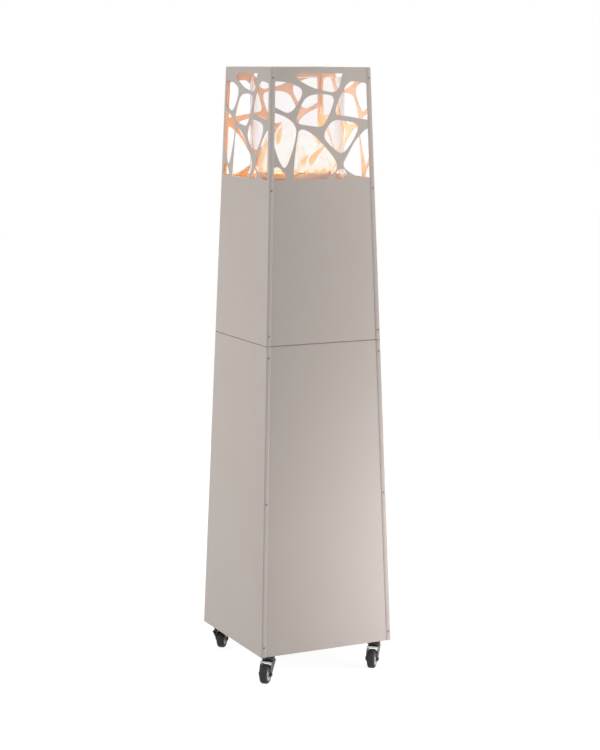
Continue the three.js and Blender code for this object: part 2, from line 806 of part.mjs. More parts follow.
function makeBurnerBay() {
  const neckHole = rod(neckRadius + clearance, shieldTop - shieldRim - overrun, trayTop, mediumSides);
  const holes = [neckHole, ...probeHoles(shieldTop - shieldRim - overrun, trayTop)];
  const ventReach = halfAt(deckTop) - sheet - 3 * ventRadius;
  const vents = [];
  for (const sideX of [-1, 1]) {
    for (const sideY of [-1, 1]) {
      vents.push(rod(ventRadius, deckTop - deckRim - overrun, deckTop + overrun, smallSides)
        .translate(sideX * ventReach, sideY * ventReach, 0));
    }
  }
  const rearGap = 2 * (sheet + clearance);
  addNode('burner_deck', cut(shellPan(deckTop, deckSheet, deckTop - deckRim, rearGap), ...holes, ...vents),
    looks.innerSteel);
  addNode('heat_shield', cut(shellPan(shieldTop, shieldSheet, shieldTop - shieldRim, rearGap), ...holes),
    looks.innerSteel);

  const channelOuter = glassRadius + clearance;
  const collarOuter = channelOuter + collarSheet;
  const collarInner = trayRadius + collarSheet;
  const collarFloor = collarBottom + collarSheet;
  addNode('glass_collar', turned([
    point(collarInner, collarBottom),
    point(collarOuter, collarBottom),
    point(collarOuter, collarBottom + collarHeight),
    point(channelOuter, collarBottom + collarHeight),
    point(channelOuter, collarFloor),
    point(collarInner, collarFloor),
    point(collarInner, collarBottom),
  ], largeSides), looks.innerSteel);
  addNode('glass_cylinder', ring(glassRadius - glassWall, glassRadius, glassBottom, glassTop, largeSides),
    looks.glass);

  const trayFloor = trayBottom + traySheet;
  const tray = turned([
    point(0, trayBottom),
    point(trayRadius, trayBottom),
    point(trayRadius, trayTop - traySheet),
    point(trayRadius + trayLip, trayTop - traySheet),
    point(trayRadius + trayLip, trayTop),
    point(trayInner, trayTop),
    point(trayInner, trayFloor),
    point(0, trayFloor),
  ], largeSides);
  addNode('burner_tray', cut(tray, ...holes), looks.innerSteel);

  makeBurnerHead();

  const stoneLow = trayFloor + clearance;
  const crownShares = [[1, -0.5], [0.84, 0.3], [0.5, 1], [0.16, 0.3], [0, -0.5]];
  addNode('stone_bed', turned([
    point(stoneInner, stoneLow),
    point(stoneOuter, stoneLow),
    ...crownShares.map(([across, up]) => point(stoneInner + stoneBandWidth * across, trayTop + stoneCrown * up)),
    point(stoneInner, stoneLow),
  ], mediumSides), looks.stone);
}

// Hollow burner with its mixing tube, open at the tube's lower end
function makeBurnerHead() {
  const neckInner = neckRadius - neckWall;
  const head = turned([
    point(0, burnerTop),
    point(burnerRadius, burnerTop),
    point(burnerRadius, burnerBottom),
    point(neckRadius, burnerBottom),
    point(neckRadius, neckBottom),
    point(neckInner, neckBottom),
    point(neckInner, burnerBottom + burnerWall),
    point(burnerRadius - burnerWall, burnerBottom + burnerWall),
    point(burnerRadius - burnerWall, burnerTop - burnerWall),
    point(0, burnerTop - burnerWall),
  ], mediumSides);
  const ports = [];
  for (let i = 0; i < portCount; i += 1) {
    const angle = (2 * Math.PI * i) / portCount;
    ports.push(rod(portRadius, burnerTop - 2 * burnerWall, burnerTop + overrun, 6)
      .translate(portCircle * Math.cos(angle), portCircle * Math.sin(angle), 0));
  }
  const acrossX = rod(airHoleRadius, -neckRadius - overrun, neckRadius + overrun, smallSides).rotateY(Math.PI / 2);
  const acrossY = acrossX.clone().rotateZ(Math.PI / 2);
  const airHoles = [acrossX, acrossY].map((tool) => tool.translate(0, 0, neckBottom + airHoleRise));
  addNode('burner_head', cut(head, ...ports, ...airHoles), looks.innerSteel);
}

// Gas train

const jetShoulderTop = neckBottom - clearance;
const jetStemBottom = jetShoulderTop - jetShoulderLength - jetStemLength;
const rearSheetY = halfAt(controlZ) - sheet - clearance;
const controls = rearFrame(0, rearSheetY, controlZ);
const valveFront = -sheet - valveFaceGap;
const valveBack = valveFront - valveDepth;

function makeJet() {
  const collarRadius = neckRadius - neckWall - clearance;
  addNode('gas_jet', turned([
    point(jetBoreRadius, jetStemBottom),
    point(jetStemRadius, jetStemBottom),
    point(jetStemRadius, jetShoulderTop - jetShoulderLength),
    point(neckRadius, jetShoulderTop - jetShoulderLength),
    point(neckRadius, jetShoulderTop),
    point(collarRadius, jetShoulderTop),
    point(collarRadius, neckBottom + jetCollarLength),
    point(jetNozzleRadius, neckBottom + jetCollarLength),
    point(jetNozzleRadius, neckBottom + jetCollarLength + jetNozzleLength),
    point(jetBoreRadius, neckBottom + jetCollarLength + jetNozzleLength),
    point(jetBoreRadius, jetStemBottom),
  ], smallSides), looks.brass);
}

function makeValve() {
  const body = box(valveWidth, valveHeight, valveDepth).translate(0, 0, (valveFront + valveBack) / 2);
  const bossReach = valveStubLength + valveStubRadius;
  const inlet = rod(valveStubRadius, 0, bossReach, smallSides)
    .rotateX(Math.PI / 2)
    .translate(0, valveStubRadius - valveHeight / 2, valveFront - valveInletSetback);
  const outlet = rod(valveStubRadius, valveBack - valveStubLength, valveBack + valveStubRadius, smallSides);
  const boreDepth = plugLength + pushTravel + 2 * clearance;
  const plugBore = rod(plugRadius + clearance, valveFront - boreDepth, valveFront + overrun, mediumSides);
  addNode('gas_valve', cut(join(body, inlet, outlet), plugBore), looks.brass, controls);

  const plugFront = valveFront - clearance;
  addNode('valve_plug', ring(
    spindleRadius + clearance, plugRadius, plugFront - plugLength, plugFront, smallSides,
  ), looks.brass, controls);

  const knobBase = pushTravel + knobFaceGap;
  const knobTop = knobBase + knobHeight;
  const spindleEnd = plugFront - plugLength + clearance;
  addNode('valve_spindle', rod(spindleRadius, spindleEnd, knobBase + knobBoreDepth - clearance, smallSides),
    looks.zinc, controls);

  const knobBody = turned([
    point(0, knobBase),
    point(knobRadius, knobBase),
    point(knobRadius, knobTop - knobChamfer),
    point(knobRadius - knobChamfer, knobTop),
    point(0, knobTop),
  ], mediumSides);
  const pointerLength = knobRadius - knobChamfer;
  const pointer = box(knobPointerWidth, pointerLength, 2 * knobPointerHeight)
    .translate(0, pointerLength / 2, knobTop);
  const knobBore = rod(spindleRadius + clearance, knobBase - overrun, knobBase + knobBoreDepth, smallSides);
  addNode('control_knob', cut(join(knobBody, pointer), knobBore), looks.blackPlastic, controls);
}

function makeIgniter() {
  const place = new THREE.Group();
  place.position.x = -igniterOffset;
  controls.add(place);
  place.updateMatrixWorld(true);
  const bezelBottom = clearance;
  const bezelTop = bezelBottom + igniterBezelHeight;
  const boreRadius = buttonRadius + clearance;
  const boreEnd = bezelTop - igniterBoreDepth;
  const tailEnd = -igniterBarrelLength - igniterTailLength;
  addNode('igniter_body', turned([
    point(0, tailEnd),
    point(igniterTailRadius, tailEnd),
    point(igniterTailRadius, -igniterBarrelLength),
    point(igniterBarrelRadius, -igniterBarrelLength),
    point(igniterBarrelRadius, bezelBottom),
    point(igniterBezelRadius, bezelBottom),
    point(igniterBezelRadius, bezelTop),
    point(boreRadius, bezelTop),
    point(boreRadius, boreEnd),
    point(0, boreEnd),
  ], mediumSides), looks.blackPlastic, place);
  const buttonBottom = boreEnd + buttonTravel + clearance;
  addNode('igniter_button', rod(buttonRadius, buttonBottom, bezelTop + buttonRise, mediumSides),
    looks.zinc, place);
  return inWorld(place, 0, 0, tailEnd - clearance);
}

// Points of a lead that drops from a probe, passes the heat shield and ends at a terminal
function leadPath(place, topZ, terminal, arrival) {
  const dropZ = shieldTop - shieldRim - 2 * probeHoleRadius;
  const reach = 4 * probeHoleRadius;
  return new THREE.CatmullRomCurve3([
    new THREE.Vector3(place.x, place.y, topZ),
    new THREE.Vector3(place.x, place.y, (topZ + dropZ) / 2),
    new THREE.Vector3(place.x, place.y, dropZ),
    terminal.clone().addScaledVector(arrival, -reach),
    terminal,
  ], false, 'centripetal');
}

function makeProbes(igniterTail) {
  const electrodeTop = trayTop + electrodeRise;
  const ceramicBottom = deckTop - deckSheet - ceramicDrop;
  const inward = electrodePlace.clone().normalize().multiplyScalar(-electrodeReach);
  const tip = tube(new THREE.LineCurve3(
    new THREE.Vector3(0, 0, trayTop - ceramicRadius),
    new THREE.Vector3(inward.x, inward.y, electrodeTop),
  ), electrodeRadius, hoseSides, 1);
  addNode('igniter_electrode', join(rod(ceramicRadius, ceramicBottom, trayTop, smallSides), tip)
    .translate(electrodePlace.x, electrodePlace.y, 0), looks.ceramic);

  const backwards = new THREE.Vector3(0, Math.cos(lean), Math.sin(lean));
  const electrodeLead = leadPath(electrodePlace, ceramicBottom - clearance, igniterTail, backwards);
  addNode('igniter_lead', tube(electrodeLead, leadRadius, hoseSides, 24), looks.hose);

  // The thermocouple's lead ends at the side of the gas valve
  const nutTop = deckTop - deckSheet - clearance;
  const nutBottom = nutTop - thermocoupleNutHeight;
  const port = inWorld(controls, valveWidth / 2 + clearance, 0, (valveFront + valveBack) / 2);
  const inwards = new THREE.Vector3(1, 0, 0);
  const lead = leadPath(thermocouplePlace, nutBottom + thermocoupleNutHeight / 2, port, inwards);
  const stem = join(
    rod(thermocoupleRadius, nutBottom, trayTop + thermocoupleRise, smallSides),
    rod(thermocoupleNutRadius, nutBottom, nutTop, 6),
  ).translate(thermocouplePlace.x, thermocouplePlace.y, 0);
  addNode('thermocouple', join(stem, tube(lead, leadRadius, hoseSides, 24)), looks.brass);
}

function makeSupplyPipe() {
  const pipeTop = new THREE.Vector3(0, 0, jetStemBottom - clearance);
  const pipeEnd = inWorld(controls, 0, 0, valveBack - valveStubLength - clearance);
  const bendStart = new THREE.Vector3(0, 0, pipeEnd.z + pipeBend);
  const bendCorner = new THREE.Vector3(0, 0, pipeEnd.z);
  const bendEnd = new THREE.Vector3(0, pipeBend, pipeEnd.z);
  const path = new THREE.CurvePath();
  path.add(new THREE.LineCurve3(pipeTop, bendStart));
  path.add(new THREE.QuadraticBezierCurve3(bendStart, bendCorner, bendEnd));
  path.add(new THREE.LineCurve3(bendEnd, pipeEnd));
  addNode('supply_pipe', tube(path, pipeRadius, hoseSides, 20), looks.brass);
}

function makeTiltSwitch() {
  const topZ = deckTop - deckSheet - clearance;
  const [x, y] = tiltSwitchPlace;
  addNode('tilt_switch', box(tiltSwitchWidth, tiltSwitchWidth, tiltSwitchHeight)
    .translate(x, y, topZ - tiltSwitchHeight / 2), looks.blackPlastic);
}

// Gas bottle and what it carries

function makeBottle() {
  const place = new THREE.Group();
  place.position.z = bottleZ;
  heater.add(place);
  const shellBottom = bottleFootHeight / 2;
  const domeStart = bottleHeight - bottleTopDome;
  const neckFrom = bottleHeight - bottleNeckHeight;
  const innerRadius = bottleRadius - bottleWall;
  const shell = turned([
    ...quarter(0, shellBottom, bottleRadius, shellBottom + bottleBottomDome, true, bendSteps),
    ...quarter(bottleRadius, domeStart, bottleNeckRadius, neckFrom, false, bendSteps),
    point(bottleNeckRadius, bottleHeight),
    point(bottleBoreRadius, bottleHeight),
    ...quarter(innerRadius, domeStart, bottleBoreRadius, neckFrom - bottleWall, false, bendSteps).reverse(),
    ...quarter(0, shellBottom + bottleWall, innerRadius, shellBottom + bottleBottomDome, true, bendSteps).reverse(),
  ], mediumSides);
  // The foot ring rises into the wall of the bottom dome
  const domeRise = bottleBottomDome * (1 - Math.sqrt(1 - (bottleFootRadius / bottleRadius) ** 2));
  const foot = ring(
    bottleFootRadius - bottleFootWall, bottleFootRadius, 0, shellBottom + domeRise + 2 * bottleWall, mediumSides,
  );
  const innerSpace = turned([
    ...quarter(0, shellBottom + bottleWall, innerRadius, shellBottom + bottleBottomDome, true, bendSteps),
    point(0, shellBottom + bottleBottomDome),
  ], mediumSides);
  addNode('gas_bottle', join(shell, cut(foot, innerSpace)), looks.bottleGrey, place);

  const valveBottom = bottleHeight + clearance;
  const valveTop = valveBottom + bottleValveHeight;
  const outletZ = valveBottom + bottleOutletRise;
  const body = turned([
    point(0, bottleHeight - bottleNeckHeight),
    point(bottleBoreRadius - clearance, bottleHeight - bottleNeckHeight),
    point(bottleBoreRadius - clearance, valveBottom),
    point(bottleValveRadius, valveBottom),
    point(bottleValveRadius, valveTop),
    point(bottleStemRadius, valveTop),
    point(bottleStemRadius, valveTop + bottleStemHeight),
    point(0, valveTop + bottleStemHeight),
  ], smallSides);
  const outlet = rod(bottleOutletRadius, 0, bottleOutletReach, smallSides)
    .rotateY(Math.PI / 2)
    .translate(0, 0, outletZ);
  addNode('bottle_valve', join(body, outlet), looks.brass, place);

  const waveSteps = 4 * handwheelWaves;
  const wavy = [];
  for (let i = 0; i < waveSteps; i += 1) {
    const angle = (2 * Math.PI * i) / waveSteps;
    const radius = handwheelRadius + handwheelWave * Math.cos(handwheelWaves * angle);
    wavy.push(point(radius * Math.cos(angle), radius * Math.sin(angle)));
  }
  const wheelLow = valveTop + clearance;
  const wheel = new THREE.ExtrudeGeometry(new THREE.Shape(wavy), { depth: handwheelHeight, bevelEnabled: false })
    .translate(0, 0, wheelLow);
  const stemHole = rod(bottleStemRadius + clearance, wheelLow - overrun, wheelLow + handwheelHeight + overrun,
    smallSides);
  addNode('bottle_handwheel', cut(wheel, stemHole), looks.blackPlastic, place);

  const regulatorX = bottleOutletReach + clearance + regulatorNutLength + regulatorRadius;
  const nut = rod(regulatorNutRadius, bottleOutletReach + clearance, regulatorX, 6)
    .rotateY(Math.PI / 2)
    .translate(0, 0, outletZ);
  const dome = turned([
    point(0, -regulatorHeight / 2),
    point(regulatorRadius, -regulatorHeight / 2),
    point(regulatorRadius, 0),
    point(0, regulatorHeight / 2),
  ], mediumSides).translate(regulatorX, 0, outletZ);
  const spout = regulatorRadius + regulatorOutletLength;
  const outletStub = rod(regulatorOutletRadius, -spout, 0, smallSides)
    .rotateX(Math.PI / 2)
    .translate(regulatorX, 0, outletZ - regulatorOutletRadius);
  addNode('regulator', join(nut, dome, outletStub), looks.zinc, place);
  return new THREE.Vector3(regulatorX, spout + clearance, bottleZ + outletZ - regulatorOutletRadius);
}

// The hose rises from the regulator through the opening at the seam to the gas valve. Each point
// is its shares of the way across, back and up between the two.
const hoseRouteShares = [
  [0, 0, 0], [0, 0.19, 0], [0, 0.58, 0.016], [0.013, 0.83, 0.08], [0.08, 0.83, 0.185], [0.24, 0.72, 0.33],
  [0.48, 0.61, 0.485], [0.745, 0.61, 0.66], [0.985, 0.75, 0.825],
];

function makeHose(from) {
  const to = inWorld(controls, 0, -valveHeight / 2 - valveStubLength - clearance, valveFront - valveInletSetback);
  const lead = 2 * hoseRadius;
  const span = to.clone().sub(from);
  const route = hoseRouteShares.map((shares) => from.clone().add(new THREE.Vector3(...shares).multiply(span)));
  const end = [4, 2, 0].map((count) => to.clone().add(new THREE.Vector3(0, 0, -count * lead)));
  addNode('gas_hose', tube(new THREE.CatmullRomCurve3([...route, ...end], false, 'centripetal'),
    hoseRadius, hoseSides, 40), looks.hose);
}

function controlHoles() {
  const spindleHole = rod(spindleHoleRadius, -overrun, overrun, smallSides);
  const igniterHole = rod(igniterBarrelRadius + clearance, -overrun, overrun, mediumSides)
    .translate(-igniterOffset, 0, 0);
  return [spindleHole, igniterHole].map((tool) => tool.applyMatrix4(controls.matrixWorld));
}

makeBase();
makeLowerPanels();
makeMidFrame();
makeDoor();
makeHinge('lower', doorLow + lowerHingeInset);
makeHinge('upper', doorHigh - upperHingeInset);
makeUpperPanels(controlHoles());
makeBurnerBay();
makeJet();
makeValve();
makeProbes(makeIgniter());
makeSupplyPipe();
makeTiltSwitch();
makeHose(makeBottle());
Object.keys(casterTurns).forEach(makeCaster);

export default heater;
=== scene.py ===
import math

import bmesh
import bpy
import numpy as np
from mathutils import Matrix, Vector
from mathutils.geometry import tessellate_polygon


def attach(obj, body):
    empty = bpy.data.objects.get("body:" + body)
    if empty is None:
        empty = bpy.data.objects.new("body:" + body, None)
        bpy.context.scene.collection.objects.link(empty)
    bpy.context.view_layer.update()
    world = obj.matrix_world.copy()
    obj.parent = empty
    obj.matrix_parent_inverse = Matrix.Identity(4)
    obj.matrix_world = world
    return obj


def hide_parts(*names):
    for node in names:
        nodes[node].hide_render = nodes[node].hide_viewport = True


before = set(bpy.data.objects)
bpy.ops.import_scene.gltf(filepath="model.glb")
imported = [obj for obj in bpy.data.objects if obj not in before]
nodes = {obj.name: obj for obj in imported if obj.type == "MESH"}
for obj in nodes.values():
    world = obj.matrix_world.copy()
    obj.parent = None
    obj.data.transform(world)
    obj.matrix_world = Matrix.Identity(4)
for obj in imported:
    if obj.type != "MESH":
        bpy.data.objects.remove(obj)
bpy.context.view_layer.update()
print("frame loaded")

scene = bpy.context.scene
mm = 0.001
fullTurn = 2 * math.pi
quarterTurn = math.pi / 2
weldGap = 0.002 * mm  # Points closer than this become one
leastArea = 1e-12  # Triangles with less than half of this, in square metres, are slivers
edgeShare = 0.45  # The most of an edge that one rounded corner takes
plateSteps = 5  # Steps round the corners of plates
patchScale = 0.02  # The patches of roughness are fifty times larger than the grain

# The tapering cabinet that every panel follows
cabinet = {
    "skirtZ": 74 * mm,
    "baseWidth": 372.7 * mm,
    "topWidth": 275.65 * mm,
    "height": 1480 * mm,
    "seam": 792 * mm,
    "seamGap": 2 * mm,
    "sheet": 1.5 * mm,
    "innerBend": 1 * mm,
    "flange": 12 * mm,
    "flangeBevel": 3 * mm,
    "bevelDrop": 1.1 * mm,
    "edgeGap": 1 * mm,
    "clearance": 0.3 * mm,
}
taper = (cabinet["baseWidth"] - cabinet["topWidth"]) / 2 / cabinet["height"]
lean = math.atan(taper)
topZ = cabinet["skirtZ"] + cabinet["height"]
seamZ = cabinet["skirtZ"] + cabinet["seam"]


def halfAt(z):
    # Half the cabinet's width: half the base less the taper times the height over the skirt
    return cabinet["baseWidth"] / 2 - taper * (z - cabinet["skirtZ"])


def addObject(name, data):
    thing = bpy.data.objects.new(name, data)
    scene.collection.objects.link(thing)
    return thing


# The camera looks from the front left, a little above the middle. Angles are in degrees, trims in
# radians, and the focal length is in pixels of a picture whose long side is given here.
view = {
    "azimuth": 25.8506,
    "distance": 5.07078,
    "height": 1.50717,
    "pitch": -9.1835,
    "yawTrim": 0.0018,
    "roll": 0.0029,
    "focalPixels": 1973.02,
    "longSide": 750,
    "sensor": 36.0,
    "farClip": 60,
}


def makeCamera():
    around = math.radians(view["azimuth"])
    yaw = around + view["yawTrim"]
    pitch = math.radians(view["pitch"])
    forward = Vector((math.sin(yaw) * math.cos(pitch), math.cos(yaw) * math.cos(pitch), math.sin(pitch)))
    level = Vector((math.cos(yaw), -math.sin(yaw), 0))
    raised = level.cross(forward)
    cosRoll, sinRoll = math.cos(view["roll"]), math.sin(view["roll"])
    right = level * cosRoll + raised * sinRoll
    up = raised * cosRoll - level * sinRoll
    data = bpy.data.cameras.new("camera")
    data.sensor_width = view["sensor"]
    data.lens = view["focalPixels"] * view["sensor"] / view["longSide"]
    data.clip_end = view["farClip"]
    eye = (-view["distance"] * math.sin(around), -view["distance"] * math.cos(around),
           view["height"] + cabinet["skirtZ"])
    turn = Matrix((right, up, -forward)).transposed().to_4x4()
    scene.camera = addObject("camera", data)
    scene.camera.matrix_world = Matrix.Translation(eye) @ turn


makeCamera()
print("camera placed")


def feed(tree, node, sockets):
    # Each socket, by its name or number, takes another node's output or a plain value
    for key, source in sockets.items():
        if isinstance(source, bpy.types.NodeSocket):
            tree.links.new(source, node.inputs[key])
        else:
            node.inputs[key].default_value = source


def addNode(tree, kind, sockets, **settings):
    node = tree.nodes.new(kind)
    for key, value in settings.items():
        setattr(node, key, value)
    feed(tree, node, sockets)
    return node


def mixColors(tree, factor, first, second):
    # A colour mix has its factor at socket 0 and its two colours at sockets 6 and 7
    return addNode(tree, "ShaderNodeMix", {0: factor, 6: first, 7: second}, data_type="RGBA").outputs[2]


def compute(tree, operation, first, second):
    return addNode(tree, "ShaderNodeMath", {0: first, 1: second}, operation=operation).outputs[0]


def addNoise(tree, vector, scale, detail=3.0, roughness=0.5, distortion=0.0):
    sockets = {"Vector": vector, "Scale": scale, "Detail": detail, "Roughness": roughness,
               "Distortion": distortion}
    return addNode(tree, "ShaderNodeTexNoise", sockets).outputs[0]


def aroundZero(tree, noise, amount):
    # (noise - 0.5) amount
    return compute(tree, "MULTIPLY", compute(tree, "SUBTRACT", noise, 0.5), amount)


def spanShare(tree, value, low, high, **settings):
    # 0 where the value is at the low end or under it, 1 at the high end or over it
    sockets = {"Value": value, "From Min": low, "From Max": high}
    return addNode(tree, "ShaderNodeMapRange", sockets, **settings).outputs[0]


# Node groups that several materials share. Inputs are (name, kind, default), outputs (name, kind).
def newGroup(name, inputs, outputs):
    group = bpy.data.node_groups.new(name, "ShaderNodeTree")
    for label, kind, value in inputs:
        socket = group.interface.new_socket(label, in_out="INPUT", socket_type="NodeSocket" + kind)
        socket.default_value = value
    for label, kind in outputs:
        group.interface.new_socket(label, in_out="OUTPUT", socket_type="NodeSocket" + kind)
    return group, group.nodes.new("NodeGroupInput").outputs, group.nodes.new("NodeGroupOutput").inputs


def makeToneGroup():
    # Cloudy noise shifts a colour between two tones: mask = 0.5 + contrast (noise - 0.5)
    group, given, result = newGroup(
        "toneShift",
        [("Vector", "Vector", (0, 0, 0)), ("Dark", "Color", (0.4, 0.4, 0.4, 1)),
         ("Light", "Color", (0.6, 0.6, 0.6, 1)), ("Scale", "Float", 8.0), ("Contrast", "Float", 1.0)],
        [("Color", "Color"), ("Mask", "Float")],
    )
    cloud = addNoise(group, given["Vector"], given["Scale"], detail=4.0, roughness=0.6)
    spread = aroundZero(group, cloud, given["Contrast"])
    mask = addNode(group, "ShaderNodeMath", {0: spread, 1: 0.5}, operation="ADD", use_clamp=True).outputs[0]
    group.links.new(mixColors(group, mask, given["Dark"], given["Light"]), result["Color"])
    group.links.new(mask, result["Mask"])
    return group


def makeGrainGroup():
    # The pebbled skin of a baked powder coat or a moulding, whose roughness shifts in patches
    group, given, result = newGroup(
        "fineGrain",
        [("Vector", "Vector", (0, 0, 0)), ("Scale", "Float", 900.0), ("Roughness", "Float", 0.5),
         ("Spread", "Float", 0.05)],
        [("Height", "Float"), ("Roughness", "Float")],
    )
    pebble = addNoise(group, given["Vector"], given["Scale"], detail=2.0)
    patch = addNoise(group, given["Vector"], compute(group, "MULTIPLY", given["Scale"], patchScale))
    shift = aroundZero(group, patch, given["Spread"])
    group.links.new(pebble, result["Height"])
    group.links.new(compute(group, "ADD", given["Roughness"], shift), result["Roughness"])
    return group


def makeBrushGroup():
    # Long thin scratches of rolled, drawn or turned metal: noise that is finest across them
    group, given, result = newGroup(
        "brushLines",
        [("Vector", "Vector", (0, 0, 0)), ("Along", "Vector", (900, 900, 20)),
         ("Roughness", "Float", 0.35), ("Spread", "Float", 0.2)],
        [("Height", "Float"), ("Roughness", "Float")],
    )
    stretched = addNode(group, "ShaderNodeVectorMath", {0: given["Vector"], 1: given["Along"]},
                        operation="MULTIPLY")
    lines = addNoise(group, stretched.outputs[0], 1.0, roughness=0.6)
    shift = aroundZero(group, lines, given["Spread"])
    group.links.new(lines, result["Height"])
    group.links.new(compute(group, "ADD", given["Roughness"], shift), result["Roughness"])
    return group


def makeWispGroup():
    # Uneven patches drawn out along one direction, for flames. They are soft over twice the softness.
    group, given, result = newGroup(
        "flameWisps",
        [("Vector", "Vector", (0, 0, 0)), ("Stretch", "Vector", (1, 1, 0.4)), ("Scale", "Float", 40.0),
         ("Edge", "Float", 0.55), ("Softness", "Float", 0.08)],
        [("Mask", "Float")],
    )
    drawn = addNode(group, "ShaderNodeVectorMath", {0: given["Vector"], 1: given["Stretch"]},
                    operation="MULTIPLY")
    cloud = addNoise(group, drawn.outputs[0], given["Scale"], distortion=0.6)
    low = compute(group, "SUBTRACT", given["Edge"], given["Softness"])
    high = compute(group, "ADD", given["Edge"], given["Softness"])
    step = spanShare(group, cloud, low, high, interpolation_type="SMOOTHSTEP")
    group.links.new(step, result["Mask"])
    return group


toneGroup = makeToneGroup()
grainGroup = makeGrainGroup()
brushGroup = makeBrushGroup()
wispGroup = makeWispGroup()


def placeGroup(tree, group, vector, **values):
    return addNode(tree, "ShaderNodeGroup", {"Vector": vector, **values}, node_tree=group)


def linear(red, green, blue):
    # Colours are written as on a screen and turned to the linear values that the shader takes:
    # c / 12.92 for the darkest, and ((c + 0.055) / 1.055)^2.4 for the others
    values = [c / 255 for c in (red, green, blue)]
    return tuple(c / 12.92 if c <= 0.04045 else ((c + 0.055) / 1.055) ** 2.4 for c in values) + (1.0,)


def newMaterial(name):
    # The last value is the place on the object, which every pattern reads
    material = bpy.data.materials.new(name)
    material.use_nodes = True
    tree = material.node_tree
    spot = tree.nodes.new("ShaderNodeTexCoord").outputs["Object"]
    return material, tree, tree.nodes["Principled BSDF"], spot


def mixedTones(tree, spot, look):
    tone = placeGroup(tree, toneGroup, spot, Dark=linear(*look["dark"]), Light=linear(*look["light"]),
                      Scale=look["toneScale"], Contrast=look["contrast"])
    return tone.outputs["Color"]


def placeGrain(tree, spot, look):
    return placeGroup(tree, grainGroup, spot, Scale=look["grainScale"], Roughness=look["roughness"],
                      Spread=look["roughSpread"])


def placeBrush(tree, spot, look):
    return placeGroup(tree, brushGroup, spot, Along=look["along"], Roughness=look["roughness"],
                      Spread=look["roughSpread"])


def dressShader(tree, shader, color, skin, look):
    # The skin is a grain or brush group, which gives roughness and the height of the bump
    bump = addNode(tree, "ShaderNodeBump", {"Strength": look["bump"], "Distance": look["bumpDepth"],
                                            "Height": skin.outputs["Height"]})
    feed(tree, shader, {"Base Color": color, "Roughness": skin.outputs["Roughness"],
                        "Normal": bump.outputs[0], "Metallic": look.get("metallic", 0.0),
                        "Specular IOR Level": look.get("specular", 0.5)})


def coatMaterial(name, look):
    material, tree, shader, spot = newMaterial(name)
    dressShader(tree, shader, mixedTones(tree, spot, look), placeGrain(tree, spot, look), look)
    return material


def metalMaterial(name, look):
    material, tree, shader, spot = newMaterial(name)
    dressShader(tree, shader, mixedTones(tree, spot, look), placeBrush(tree, spot, look), look)
    return material


# Coats, mouldings and rubbers: two tones, a fine grain and a bump whose depth is in metres
coatLooks = {
    "taupeCoat": {"dark": (196, 186, 179), "light": (201, 191, 184), "toneScale": 5.0, "contrast": 1.2,
                  "grainScale": 1100.0, "roughness": 0.5, "roughSpread": 0.06, "bump": 0.12,
                  "bumpDepth": 0.15 * mm, "specular": 0.3},
    "screwCoat": {"dark": (142, 134, 128), "light": (158, 150, 143), "toneScale": 60.0, "contrast": 1.5,
                  "grainScale": 1400.0, "roughness": 0.4, "roughSpread": 0.1, "bump": 0.15,
                  "bumpDepth": 0.1 * mm},
    # The deck and the collar: peach, lighter and warmer than the body's taupe, a painted warm glow of the
    # flames
    "deckGlowCoat": {"dark": (206, 184, 164), "light": (224, 206, 190), "toneScale": 12.0, "contrast": 2.0,
                 "grainScale": 1100.0, "roughness": 0.45, "roughSpread": 0.1, "bump": 0.12,
                 "bumpDepth": 0.15 * mm, "specular": 0.3},
    "bottleCoat": {"dark": (150, 158, 164), "light": (165, 172, 178), "toneScale": 9.0, "contrast": 1.6,
                   "grainScale": 500.0, "roughness": 0.35, "roughSpread": 0.1, "bump": 0.1,
                   "bumpDepth": 0.2 * mm},
    "blackMoulding": {"dark": (26, 26, 28), "light": (36, 36, 38), "toneScale": 30.0, "contrast": 1.0,
                      "grainScale": 1800.0, "roughness": 0.45, "roughSpread": 0.1, "bump": 0.2,
                      "bumpDepth": 0.1 * mm},
    "tyreRubber": {"dark": (40, 40, 41), "light": (58, 57, 57), "toneScale": 60.0, "contrast": 2.0,
                   "grainScale": 1500.0, "roughness": 0.7, "roughSpread": 0.15, "bump": 0.3,
                   "bumpDepth": 0.15 * mm},
    "hubMoulding": {"dark": (206, 193, 181), "light": (226, 214, 203), "toneScale": 70.0, "contrast": 1.5,
                    "grainScale": 1500.0, "roughness": 0.45, "roughSpread": 0.1, "bump": 0.15,
                    "bumpDepth": 0.1 * mm},
    "hoseRubber": {"dark": (38, 36, 36), "light": (56, 52, 50), "toneScale": 40.0, "contrast": 1.5,
                   "grainScale": 1400.0, "roughness": 0.6, "roughSpread": 0.1, "bump": 0.25,
                   "bumpDepth": 0.15 * mm},
    "ceramicGlaze": {"dark": (224, 219, 208), "light": (240, 236, 228), "toneScale": 90.0, "contrast": 1.2,
                     "grainScale": 900.0, "roughness": 0.3, "roughSpread": 0.05, "bump": 0.1,
                     "bumpDepth": 0.1 * mm},
}
